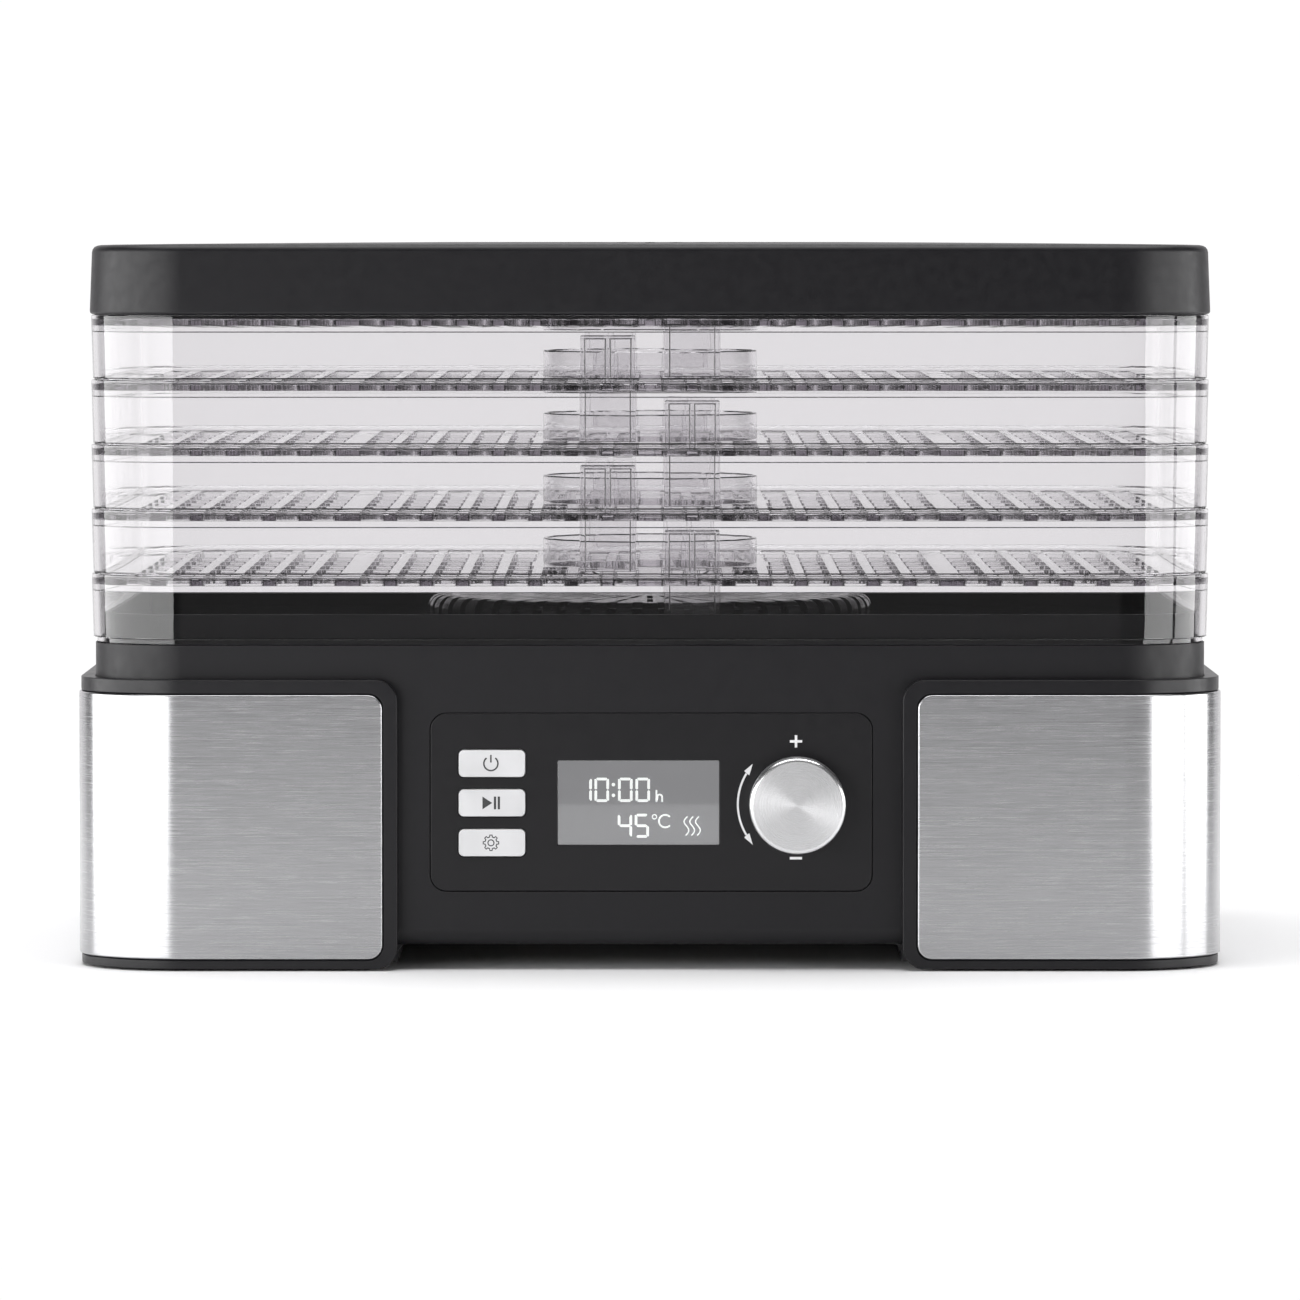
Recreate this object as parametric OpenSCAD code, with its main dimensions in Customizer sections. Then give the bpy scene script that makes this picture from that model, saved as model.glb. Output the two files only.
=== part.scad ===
// Food dehydrator: a heated base with a fan, five stacking trays and a lid.
// Millimetres, +Z up, front towards -Y, origin at the middle of the footprint on the table.

/* [Base] */
// Width over the steel side panels
body_w = 450; // [446:1:456]
// Depth over the steel side panels
body_d = 310; // [306:1:316]
// Corner radius of the steel side panels, seen from above
body_r = 41; // [38:1:44]
// Height of the ledges on top of the side frames
ledge_z = 113.8; // [112:0.2:116]
// Height of the seat that the lowest tray stands on
neck_z = 127; // [126:0.5:128]
// How far the middle of the front lies behind the steel panels
step_back = 6.5; // [6:0.1:7]
// Half the width of the middle section between the side frames
centre_half = 98.6; // [96:0.2:102]
// Wall thickness of the base housing
wall = 3; // [2.6:0.1:3.2]

/* [Trays and lid] */
// Width of a tray
tray_w = 440; // [438:1:441]
// Depth of a tray
tray_d = 300; // [298:1:301]
// Height of one tray from the foot of its skirt to its rim
tray_h = 27; // [26.6:0.1:27.4]
// How far each tray sinks into the one below
tray_nest = 1.6; // [1.4:0.1:1.8]
// Radius of the air hole in the middle of each tray
tray_hole_r = 41.5; // [38:0.5:44]
// Height of the lid
lid_h = 28.5; // [26:0.5:34]

/* [Controls] */
// Width of the control panel
panel_w = 172.4; // [168:0.2:176]
// Height of the control panel
panel_h = 69.4; // [66:0.2:72]
// Radius of the dial
knob_r = 18.75; // [16:0.25:20]
// Length of the dial
knob_len = 12; // [10:0.5:14]
// Travel of the keys
key_travel = 0.8; // [0.6:0.1:0.9]

/* [Hidden] */

arc_steps = 10;           // straight steps in each rounded corner
fine = 96;                // roundness of large circles
small = 36;               // roundness of small circles
fit_gap = 0.3;            // gap between parts that slide past each other
seam = 0.1;               // gap between parts that are fixed together
far = 400;                // longer than the object

// Plan of the base
neck_w = body_w - 2 * step_back;
neck_d = body_d - 2 * step_back;
neck_r = body_r - 5;
frame_w = body_w - 1.6;
frame_d = body_d - 1.6;
frame_r = body_r - 0.8;
steel_t = 1.5;
cavity_w = neck_w - 2 * wall;
cavity_d = neck_d - 2 * wall;
cavity_r = neck_r - wall;
plate_t = 2.6;

// The dial reaches furthest forward and the side frames furthest back, and the origin is
// midway between them, so the middle of the trays lies a little behind it
panel_proud = 0.3;
knob_gap = 1;
mid_y = (neck_d / 2 + panel_proud + knob_gap + knob_len - frame_d / 2) / 2;
front_y = mid_y - neck_d / 2;
rear_y = mid_y + neck_d / 2;

// Heights in the base
frame_z0 = 0.8;
side_z0 = 3.4;
centre_z0 = 9.7;
upstand_z = neck_z + 12;
deck_z = neck_z + 2.6;
steel_z0 = 4.7;
steel_z1 = ledge_z - 5.8;
steel_x = centre_half + 5.8;
steel_rear_y = mid_y + body_d / 2 - body_r - 4;
frame_corner_r = 8.5;
steel_corner_r = 5.6;
fillet_r = 3.4;
lower_edge_r = 7;         // rounded edge under the middle, front and back

// Upstand that keeps the lowest tray in place
upstand_w = tray_w - 10;
upstand_d = tray_d - 10;
upstand_r = 33;
upstand_t = 2.5;

// Tray, measured from the foot of its skirt
tray_r = 37.5;
nest_in = 2.2;            // how far the foot of the skirt is set in from the rim
lip_t = 1.3;
skirt_t = 2.6;
foot_h = 4;               // height of the thicker foot of the skirt
seat_h = tray_h - tray_nest - 0.2;
floor_top = tray_h - 0.9;
floor_t = 3.2;
floor_w = tray_w - 9.6;
floor_d = tray_d - 9.6;
floor_r = 32;
tray_pitch = tray_h - tray_nest;
tray_gap = 0.2;
collar_r = 43.5;
collar_up = 10.6;
collar_land_r = 47.5;
post_x = 16.5;
post_y = 136;
post_up = 17.5;
post_z0 = 3;

// Openings in the tray floor: columns of long slots with wider bars at three places
slot_w = 10;
slot_pitch = 14.15;
slot_len = 36.5;
row_pitch = 41;
inner_columns = 8;
outer_columns = 6;
inner_start = 4.5;
outer_start = 122.5;
slot_starts = concat(
    [for (i = [0:inner_columns - 1]) inner_start + slot_pitch * i],
    [for (i = [0:outer_columns - 1]) outer_start + slot_pitch * i]
);

// Stack
function tray_foot(k) = neck_z + tray_gap + tray_pitch * (5 - k);
lid_z0 = tray_foot(1) + tray_h + tray_gap;
lid_w = tray_w + 1;
lid_d = tray_d + 1;
lid_r = tray_r + 0.5;
lid_t = 2.6;

// Air path
duct_r = 80;
duct_t = 2.5;
fan_r = 72;
deck_hole_r = 84;
grille_r = 90;
grille_z0 = deck_z + seam;
grille_z1 = neck_z + 14;
grille_edge_r = 5;
grille_t = 2.2;
intake_r = 72;

// Control panel
panel_x = 0.5;
panel_z = 65.8;
panel_r = 6.3;
panel_t = 2.2;
key_x = -61.7;
key_zs = [81, 65.6, 50];
key_w = 25.9;
key_h = 10.5;
key_r = 2;
switch_bottom = 10.4;     // bottom of the switches' bores, behind the front face
display_x = -4.5;
display_z = 65.6;
display_w = 63;
display_h = 33;
knob_x = 57.5;
knob_z = 65;
board_y = front_y + 11.2;
panel_posts = [for (x = [-75, 76], z = [39.5, 92]) [x, z]];

// Screw and foot places, from the middle of the base
housing_bosses = [for (sx = [-1, 1], p = [[120, -128], [120, 128], [200, -60], [200, 60]]) [sx * p[0], p[1]]];
foot_places = [for (sx = [-1, 1], sy = [-1, 1]) [sx * 165, sy * 112]];

// Power board in the left side of the base
power_x = -155;
power_z = 20;
power_w = 80;
power_d = 120;
power_posts = [for (sx = [-1, 1], sy = [-1, 1]) [power_x + sx * 35, sy * 54]];

// Motor
motor_w = 50;
shaft_r = 2.5;
bearing_gap = 0.05;
stator_z0 = 36;
stator_h = 20;
rotor_r = 15.2;
bracket_t = 3.8;
bearing_r = 5;
bearing_h = 5;
motor_bolts = [for (sx = [-1, 1], sy = [-1, 1]) [sx * 20, sy * 20]];
fan_z0 = 70;
fan_hub_h = 16;
heater_z = 107;
coil_radii = [35, 48, 61];
coil_wire_r = 1.6;

black = [0.11, 0.105, 0.115];
dark = [0.2, 0.2, 0.21];
clear = [0.86, 0.88, 0.9, 0.45];
steel = [0.68, 0.68, 0.69];
metal = [0.75, 0.75, 0.76];
board_green = [0.1, 0.35, 0.2];
copper = [0.72, 0.42, 0.2];
key_grey = [0.85, 0.85, 0.86];

// Points of one rounded corner, a quarter circle about cx, cy from the angle a0
function corner_arc(cx, cy, r, a0) =
    [for (i = [0:arc_steps]) let (a = a0 + 90 * i / arc_steps) [cx + r * cos(a), cy + r * sin(a)]];

// Outline of a rounded rectangle about the origin
function rounded(w, d, r) = concat(
    corner_arc(w / 2 - r, d / 2 - r, r, 0),
    corner_arc(-w / 2 + r, d / 2 - r, r, 90),
    corner_arc(-w / 2 + r, -d / 2 + r, r, 180),
    corner_arc(w / 2 - r, -d / 2 + r, r, 270)
);

// Upright block with rounded corners, about the Z axis
module block(w, d, r, z0, z1) {
    translate([0, 0, z0])
        linear_extrude(z1 - z0)
            polygon(rounded(w, d, r));
}

// The same about the middle of the base
module slab(w, d, r, z0, z1) {
    translate([0, mid_y, 0])
        block(w, d, r, z0, z1);
}

// Plate that faces the front, with rounded corners, from y0 back to y1
module front_plate(x, z, w, h, r, y0, y1) {
    translate([x, y1, z])
        rotate([90, 0, 0])
            linear_extrude(y1 - y0)
                polygon(rounded(w, h, r));
}

// Round bar along Y, from y0 back to y1
module bar_y(x, z, r, y0, y1, roundness = small) {
    translate([x, y1, z])
        rotate([90, 0, 0])
            cylinder(h = y1 - y0, r = r, $fn = roundness);
}

// Round bar along Z about the middle of the base
module bar_z(x, y, r, z0, z1, roundness = small) {
    translate([x, mid_y + y, z0])
        cylinder(h = z1 - z0, r = r, $fn = roundness);
}

// Box about the middle of the base, given by its centre in plan and its heights
module box_z(x, y, w, d, z0, z1) {
    translate([x - w / 2, mid_y + y - d / 2, z0])
        cube([w, d, z1 - z0]);
}

// Box behind the front face, given by its centre and its depths behind that face
module box_front(x, z, w, h, y0, y1) {
    translate([x - w / 2, front_y + y0, z - h / 2])
        cube([w, y1 - y0, h]);
}

// ---- Trays ----

// Half the depth that a slot may reach where its outer side is at x
function slot_limit(x) =
    let (cx = floor_w / 2 - floor_r, over = max(0, x - cx))
    floor_d / 2 - floor_r + sqrt(floor_r * floor_r - over * over) - 3.5;

module tray_slots() {
    for (x0 = slot_starts, side = [-1, 1], row = [-3:3]) {
        limit = slot_limit(x0 + slot_w);
        y0 = max(row * row_pitch - slot_len / 2, -limit);
        y1 = min(row * row_pitch + slot_len / 2, limit);
        under_collar = row == 0 && x0 + slot_w < collar_r;
        if (y1 - y0 > 4 && !under_collar)
            translate([side > 0 ? x0 : -x0 - slot_w, y0, floor_top - floor_t - 1])
                cube([slot_w, y1 - y0, floor_t + 2]);
    }
}

// Stacking post: a comb section above the floor and a channel below it, both open inwards
module tray_post() {
    floor_z = floor_top - floor_t;
    translate([-12, -6, floor_z])
        cube([24, 12, floor_t]);
    translate([-10.7, -5, floor_top - 0.1])
        cube([21.4, 1.7, post_up + 1]);
    for (rib = [[-10.7, 1.7], [-1, 2], [9, 1.7]])
        translate([rib[0], -5, floor_top - 0.1])
            cube([rib[1], 10, post_up + 1]);
    translate([-10.7, -5, floor_top + post_up - 0.6])
        cube([21.4, 10, 1.6]);
    translate([-11, -5, post_z0])
        cube([22, 1.7, floor_z - post_z0 + 0.1]);
    for (x = [-11, 8.8])
        translate([x, -5, post_z0])
            cube([2.2, 10, floor_z - post_z0 + 0.1]);
}

// Skirt with its set-in foot, and the rim with the seat for the next tray
module tray_walls() {
    foot_in = 2 * nest_in;
    difference() {
        union() {
            block(tray_w - foot_in, tray_d - foot_in, tray_r - nest_in, 0, nest_in);
            block(tray_w, tray_d, tray_r, nest_in, tray_h);
        }
        block(tray_w - 2 * foot_in, tray_d - 2 * foot_in, tray_r - foot_in, -1, foot_h);
        block(tray_w - 2 * skirt_t, tray_d - 2 * skirt_t, tray_r - skirt_t,
            foot_h - 0.1, floor_top - floor_t);
        block(tray_w - 2 * lip_t, tray_d - 2 * lip_t, tray_r - lip_t, seat_h, tray_h + 1);
    }
}

module tray() {
    color(clear)
        difference() {
            union() {
                difference() {
                    union() {
                        tray_walls();
                        block(floor_w, floor_d, floor_r, floor_top - floor_t, floor_top);
                    }
                    tray_slots();
                }
                translate([0, 0, floor_top - floor_t])
                    cylinder(h = floor_t, r = collar_land_r, $fn = fine);
                translate([0, 0, floor_top - floor_t - 1.4])
                    cylinder(h = floor_t + 1.4 + collar_up, r = collar_r, $fn = fine);
                for (side = [-1, 1])
                    translate([post_x, side * post_y, 0])
                        scale([1, -side, 1])
                            tray_post();
            }
            translate([0, 0, -1])
                cylinder(h = tray_h + 20, r = tray_hole_r, $fn = fine);
        }
}

// Every second tray is turned half a turn, so that its posts pass beside those below
module placed_tray(k) {
    translate([0, mid_y, tray_foot(k)])
        rotate([0, 0, k % 2 == 0 ? 180 : 0])
            tray();
}

module tray_1() placed_tray(1);
module tray_2() placed_tray(2);
module tray_3() placed_tray(3);
module tray_4() placed_tray(4);
module tray_5() placed_tray(5);

// ---- Lid ----

module lid_vents() {
    for (ring = [[30, 18, 24], [54, 18, 36]])
        for (i = [0:ring[2] - 1])
            rotate([0, 0, 360 * i / ring[2]])
                translate([ring[0], -2, 0])
                    cube([ring[1], 4, far]);
}

module lid() {
    z1 = lid_z0 + lid_h;
    color(black)
        difference() {
            union() {
                slab(lid_w, lid_d, lid_r, lid_z0, z1 - 3);
                slab(lid_w - 2.4, lid_d - 2.4, lid_r - 1.2, z1 - 3, z1 - 1.3);
                slab(lid_w - 12, lid_d - 12, lid_r - 6, z1 - 1.3, z1);
                slab(tray_w - 3.6, tray_d - 3.6, tray_r - 1.8, lid_z0 - 1.5, lid_z0 + 1);
            }
            slab(tray_w - 8.6, tray_d - 8.6, tray_r - 4.3, lid_z0 - 2, lid_z0 + 3);
            slab(lid_w - 2 * lid_t, lid_d - 2 * lid_t, lid_r - lid_t, lid_z0 + 3, z1 - lid_t - 1);
            translate([0, mid_y, lid_z0 + 10])
                lid_vents();
        }
}

// ---- Base housing ----

// Rounded edge under the middle, as thick as the wall, in front or behind
module lower_edge(side) {
    r = lower_edge_r;
    outer = [for (i = [0:8]) let (a = 90 * i / 8) [r - r * cos(a), r - r * sin(a)]];
    inner = [for (i = [8:-1:0]) let (a = 90 * i / 8, q = r - wall) [r - q * cos(a), r - q * sin(a)]];
    outline = concat([[0, r + 1]], outer, [[r + wall, 0], [r + wall, wall]], inner, [[wall, r + 1]]);
    translate([-centre_half - 0.5, side > 0 ? rear_y : front_y, centre_z0])
        scale([1, -side, 1])
            rotate([90, 0, 90])
                linear_extrude(2 * centre_half + 1)
                    polygon(outline);
}

// Rounded inner corner between the underside of the middle and a side frame
module under_fillet(side) {
    cx = centre_half - fillet_r;
    cz = centre_z0 - fillet_r;
    arc = [for (i = [0:8]) let (a = 90 * i / 8) [side * (cx + fillet_r * cos(a)), cz + fillet_r * sin(a)]];
    outline = concat(arc, [[side * cx, centre_z0 + wall - 0.5], [side * (centre_half + 0.5), centre_z0 + wall - 0.5],
        [side * (centre_half + 0.5), cz]]);
    for (y1 = [front_y + lower_edge_r + wall, rear_y - lower_edge_r + 1])
        translate([0, y1, 0])
            rotate([90, 0, 0])
                linear_extrude(wall + 1)
                    polygon(outline);
}

module housing_shell() {
    difference() {
        union() {
            slab(neck_w, neck_d, neck_r, centre_z0, neck_z);
            difference() {
                slab(neck_w, neck_d, neck_r, side_z0, centre_z0 + 1);
                translate([-centre_half, -far / 2, 0])
                    cube([2 * centre_half, far, far]);
            }
            slab(upstand_w, upstand_d, upstand_r, neck_z - 1, upstand_z);
        }
        slab(cavity_w, cavity_d, cavity_r, -1, neck_z - wall);
        for (y = [front_y, rear_y])
            translate([-centre_half, y - lower_edge_r, 0])
                cube([2 * centre_half, 2 * lower_edge_r, centre_z0 + lower_edge_r]);
        slab(upstand_w - 2 * upstand_t, upstand_d - 2 * upstand_t, upstand_r - upstand_t,
            neck_z, upstand_z + 1);
    }
}

module base_housing() {
    color(black)
        difference() {
            union() {
                housing_shell();
                box_front(panel_x, panel_z, panel_w + 14, panel_h + 14, 1, 5.5);
                for (side = [-1, 1]) {
                    lower_edge(side);
                    under_fillet(side);
                }
                for (p = housing_bosses)
                    bar_z(p[0], p[1], 4, side_z0 + plate_t + seam, neck_z - wall + 0.5);
            }
            bar_z(0, 0, duct_r + duct_t + 0.5, neck_z - wall - 1, neck_z + 1, fine);
            front_plate(panel_x, panel_z, panel_w + 0.7, panel_h + 0.7, panel_r + 0.35,
                front_y - 1, front_y + panel_t);
            front_plate(panel_x, panel_z, panel_w - 12, panel_h - 8, 2, front_y - 1, front_y + 7);
            for (p = housing_bosses)
                bar_z(p[0], p[1], 1.4, side_z0, side_z0 + 16);
            bar_y(cord_x, cord_z, gland_neck_r + seam, rear_y - wall - 1, rear_y + 1);
        }
}

// Stepped plate that closes the underside, with the air intake in the middle
module bottom_profile() {
    x0 = centre_half + 0.1;
    x1 = cavity_w / 2 - 0.25;
    z_side = side_z0 + plate_t;
    z_mid = centre_z0 + plate_t;
    polygon([
        [-x1, side_z0], [-x0, side_z0], [-x0, centre_z0], [x0, centre_z0], [x0, side_z0], [x1, side_z0],
        [x1, z_side], [x0 + plate_t, z_side], [x0 + plate_t, z_mid],
        [-x0 - plate_t, z_mid], [-x0 - plate_t, z_side], [-x1, z_side]
    ]);
}

module intake_slots() {
    for (i = [-8:8], side = [-1, 1]) {
        y = 8 * i;
        reach = sqrt(intake_r * intake_r - y * y);
        translate([side > 0 ? 2.5 : -reach, mid_y + y - 2, centre_z0 - 1])
            cube([reach - 2.5, 4, plate_t + 2]);
    }
}

module bottom_plate() {
    color(black)
        difference() {
            union() {
                intersection() {
                    translate([0, far / 2, 0])
                        rotate([90, 0, 0])
                            linear_extrude(far)
                                bottom_profile();
                    difference() {
                        slab(cavity_w - 0.5, cavity_d - 0.5, cavity_r - 0.25, 0, 20);
                        for (y = [front_y, rear_y])
                            translate([-centre_half - 0.6, y - lower_edge_r - wall - 0.2, 0])
                                cube([2 * centre_half + 1.2, 2 * (lower_edge_r + wall + 0.2), 20]);
                    }
                }
                for (p = power_posts)
                    bar_z(p[0], p[1], 3, side_z0 + 1, power_z);
            }
            difference() {
                intake_slots();
                for (p = mount_legs)
                    bar_z(p[0], p[1], 7, 0, far);
            }
            for (p = housing_bosses)
                bar_z(p[0], p[1], 1.8, 0, side_z0 + plate_t + 1);
            for (p = foot_places)
                bar_z(p[0], p[1], 3, 0, side_z0 + plate_t + 1);
            for (p = power_posts)
                bar_z(p[0], p[1], 1.2, side_z0 + plate_t, power_z + 1);
            for (p = duct_bolts)
                bar_z(p[0], p[1], 1.3, 0, centre_z0 + plate_t + 1);
            for (p = mount_legs)
                bar_z(p[0], p[1], 1.6, 0, centre_z0 + plate_t + 1);
        }
}

// ---- Side frames and steel panels ----

// Outline of a side frame seen from the front, and of the steel in it, grown by g
module side_window(side, x_in, z0, z1, r, y0, y1) {
    w = 2 * body_w;
    front_plate(side * (x_in + w / 2), (z0 + z1) / 2, w, z1 - z0, r, y0, y1);
}

module steel_region(side, g) {
    intersection() {
        side_window(side, steel_x - g, steel_z0 - g, steel_z1 + g, steel_corner_r + g, -far, far);
        translate([-far, steel_rear_y + g - far / 2, (steel_z0 + steel_z1) / 2])
            rotate([90, 0, 90])
                linear_extrude(2 * far)
                    polygon(rounded(far, steel_z1 - steel_z0 + 2 * g, steel_corner_r + g));
    }
}

module side_frame(side) {
    recess = 2 * (steel_t + 0.1);
    color(black)
        difference() {
            intersection() {
                slab(frame_w, frame_d, frame_r, frame_z0, ledge_z);
                side_window(side, centre_half, frame_z0, ledge_z, frame_corner_r, -far, far);
            }
            slab(neck_w + 2 * seam, neck_d + 2 * seam, neck_r + seam, -1, ledge_z + 1);
            intersection() {
                difference() {
                    slab(body_w + 10, body_d + 10, body_r + 5, 0, ledge_z);
                    slab(body_w - recess, body_d - recess, body_r - recess / 2, -1, ledge_z + 1);
                }
                steel_region(side, 0.35);
            }
        }
}

module steel_panel(side) {
    color(steel)
        intersection() {
            difference() {
                slab(body_w, body_d, body_r, steel_z0, steel_z1);
                slab(body_w - 2 * steel_t, body_d - 2 * steel_t, body_r - steel_t, 0, ledge_z);
            }
            steel_region(side, 0);
        }
}

module left_side_frame() side_frame(-1);
module right_side_frame() side_frame(1);
module left_steel_panel() steel_panel(-1);
module right_steel_panel() steel_panel(1);

// ---- Deck and air path ----

module deck_plate() {
    inset = 2 * (upstand_t + fit_gap);
    color(black)
        difference() {
            union() {
                slab(upstand_w - inset, upstand_d - inset, upstand_r - inset / 2, neck_z + seam, deck_z);
                bar_z(0, 0, deck_hole_r + 1.6, neck_z + seam, deck_z + 1.5, fine);
            }
            bar_z(0, 0, deck_hole_r, 0, far, fine);
        }
}

// Cap over the fan outlet: slots that run over its rounded rim, and rays of slots on top
module outlet_grille() {
    slots = 54;
    rays = 36;
    r_in = grille_r - grille_t;
    flat_r = grille_r - grille_edge_r;
    edge = [for (i = [0:8]) let (a = 90 * i / 8)
        [flat_r + grille_edge_r * cos(a), grille_z1 - grille_edge_r + grille_edge_r * sin(a)]];
    inner = [for (i = [8:-1:0]) let (a = 90 * i / 8, r = grille_edge_r - grille_t)
        [flat_r + r * cos(a), grille_z1 - grille_edge_r + r * sin(a)]];
    outline = concat([[grille_r, grille_z0]], edge, [[0, grille_z1], [0, grille_z1 - grille_t]],
        inner, [[r_in, grille_z0]]);
    color(dark)
        translate([0, mid_y, 0])
            difference() {
                rotate_extrude($fn = fine)
                    polygon(outline);
                for (i = [0:slots - 1])
                    rotate([0, 0, 360 * i / slots])
                        translate([grille_r - 9, -2, grille_z0 + 2])
                            cube([12, 4, grille_z1 - grille_z0]);
                for (ring = [[24, 24], [54, 24]], i = [0:rays - 1])
                    rotate([0, 0, 360 * i / rays])
                        translate([ring[0], -1.2, grille_z1 - 5])
                            cube([ring[1], 2.4, 10]);
            }
}

duct_bolts = [for (a = [45:90:315]) [(duct_r + 8) * cos(a), (duct_r + 8) * sin(a)]];

module air_duct() {
    z0 = centre_z0 + plate_t + seam;
    color(metal)
        difference() {
            union() {
                bar_z(0, 0, duct_r + duct_t, z0, neck_z, fine);
                bar_z(0, 0, duct_r + 13, z0, z0 + 2, fine);
            }
            bar_z(0, 0, duct_r, 0, far, fine);
            for (p = duct_bolts)
                bar_z(p[0], p[1], 1.7, 0, z0 + 3);
        }
}

module duct_screws() {
    z = centre_z0 + plate_t + seam + 2;
    color(metal)
        for (p = duct_bolts) {
            bar_z(p[0], p[1], 3, z + 0.05, z + 2);
            bar_z(p[0], p[1], 1.25, z - 5, z + 1);
        }
}

// ---- Control panel ----

module control_fascia() {
    color(black)
        difference() {
            union() {
                front_plate(panel_x, panel_z, panel_w, panel_h, panel_r,
                    front_y - panel_proud, front_y + panel_t - panel_proud);
                for (p = panel_posts)
                    bar_y(p[0], p[1], 2.5, front_y + 1, board_y - seam);
            }
            for (z = key_zs)
                front_plate(key_x, z, key_w + 2 * fit_gap, key_h + 2 * fit_gap, key_r + fit_gap,
                    front_y - 1, front_y + 3);
            front_plate(display_x, display_z, display_w + 0.2, display_h + 0.2, 0.6, front_y - 1, front_y + 3);
            bar_y(knob_x, knob_z, 3.7, front_y - 1, front_y + 3);
            for (p = panel_posts)
                bar_y(p[0], p[1], 1.1, front_y + 3, board_y + 1);
        }
}

module display_window() {
    color(clear)
        front_plate(display_x, display_z, display_w, display_h, 0.5, front_y - panel_proud, front_y + 1.4);
}

// Liquid crystal panel in its frame, standing on the control board
module display_module() {
    color(dark) {
        box_front(display_x, display_z, 66, 37, 2.3, 5);
        box_front(display_x, display_z, 70, 41, 5, 11.1);
    }
}

module control_board() {
    color(board_green)
        difference() {
            box_front(panel_x, panel_z - 0.3, 158, 60, 11.2, 12.8);
            for (p = panel_posts)
                bar_y(p[0], p[1], 1.5, board_y - 1, board_y + 3);
        }
}

module panel_screws() {
    color(metal)
        for (p = panel_posts) {
            bar_y(p[0], p[1], 2.6, board_y + 1.65, board_y + 3.4);
            bar_y(p[0], p[1], 1.05, board_y - 5, board_y + 2);
        }
}

module tact_switches() {
    color(dark)
        for (z = key_zs)
            difference() {
                box_front(key_x, z, 6, 6, 7.6, 11.1);
                bar_y(key_x, z, 1.8, front_y + 7, front_y + switch_bottom);
            }
}

module plunger(z) {
    color(key_grey)
        bar_y(key_x, z, 1.7, front_y + 6.5, front_y + switch_bottom - key_travel - fit_gap);
}

module key(z) {
    color(key_grey) {
        front_plate(key_x, z, key_w, key_h, key_r, front_y - panel_proud - 1.3, front_y + 2.3);
        box_front(key_x, z, key_w + 3, key_h + 3, 2.2, 3.4);
        bar_y(key_x, z, 2.5, front_y + 3.3, front_y + 6.45);
    }
}

module power_plunger() plunger(key_zs[0]);
module start_plunger() plunger(key_zs[1]);
module settings_plunger() plunger(key_zs[2]);
module power_button() key(key_zs[0]);
module start_button() key(key_zs[1]);
module settings_button() key(key_zs[2]);

// Dial: a spun metal cap with a recess behind it for the encoder's nut
module knob() {
    y1 = front_y - panel_proud - knob_gap;
    y0 = y1 - knob_len;
    color(metal)
        difference() {
            translate([knob_x, y1, knob_z])
                rotate([90, 0, 0])
                    rotate_extrude($fn = fine)
                        polygon([[0, 0], [knob_r - 0.8, 0], [knob_r, 1.2], [knob_r, knob_len - 0.8],
                            [knob_r - 0.8, knob_len], [0, knob_len]]);
            bar_y(knob_x, knob_z, 8.5, y1 - 4.5, y1 + 1);
            bar_y(knob_x, knob_z, 3.01, y1 - 10, y1 + 1);
        }
}

module encoder_shaft() {
    y1 = front_y - panel_proud - knob_gap;
    color(metal)
        bar_y(knob_x, knob_z, 3, y1 - 10, front_y + 5.5);
}

module encoder_body() {
    color(metal)
        difference() {
            union() {
                box_front(knob_x, knob_z, 13, 13, 4, 11.1);
                bar_y(knob_x, knob_z, 3.6, front_y - 3.5, front_y + 4.5);
            }
            bar_y(knob_x, knob_z, 3 + bearing_gap, front_y - 4, front_y + 5.7);
        }
}

module encoder_nut() {
    color(metal)
        difference() {
            bar_y(knob_x, knob_z, 5.4, front_y - panel_proud - 2.2, front_y - panel_proud - seam, 6);
            bar_y(knob_x, knob_z, 3.65, front_y - 4, front_y + 1);
        }
}

// ---- Fan and motor ----

module fan_impeller() {
    blades = 7;
    color(metal)
        difference() {
            union() {
                bar_z(0, 0, 12, fan_z0, fan_z0 + fan_hub_h, fine);
                for (i = [0:blades - 1])
                    translate([0, mid_y, fan_z0 + fan_hub_h / 2])
                        rotate([0, 0, 360 * i / blades])
                            translate([10, 0, 0])
                                rotate([35, 0, 0])
                                    translate([0, -12, -0.8])
                                        cube([fan_r - 12, 24, 1.6]);
            }
            bar_z(0, 0, shaft_r + 0.01, 0, far);
        }
}

module motor_shaft() {
    color(metal)
        bar_z(0, 0, shaft_r, 28.5, fan_z0 + fan_hub_h + 3);
}

module motor_rotor() {
    color(metal)
        difference() {
            bar_z(0, 0, rotor_r, stator_z0 - 0.5, stator_z0 + stator_h + 0.5, fine);
            bar_z(0, 0, shaft_r + 0.01, 0, far);
        }
}

// Laminated stack with a leg through the coil
module motor_stator() {
    color(steel)
        difference() {
            union() {
                box_z(0, 0, motor_w, motor_w, stator_z0, stator_z0 + stator_h);
                box_z(0, 33, motor_w, 16, stator_z0, stator_z0 + stator_h);
            }
            bar_z(0, 0, rotor_r + 0.4, 0, far, fine);
            for (side = [-1, 1])
                box_z(side * 13.5, 31, 9, 10.5, 0, far);
            for (p = motor_bolts)
                bar_z(p[0], p[1], 1.7, 0, far);
        }
}

module motor_coil() {
    color(copper)
        difference() {
            box_z(0, 31, 35, 10, stator_z0 - 4, stator_z0 + stator_h + 4);
            box_z(0, 31, 18.4, 11, stator_z0 - 0.2, stator_z0 + stator_h + 0.2);
        }
}

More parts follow.
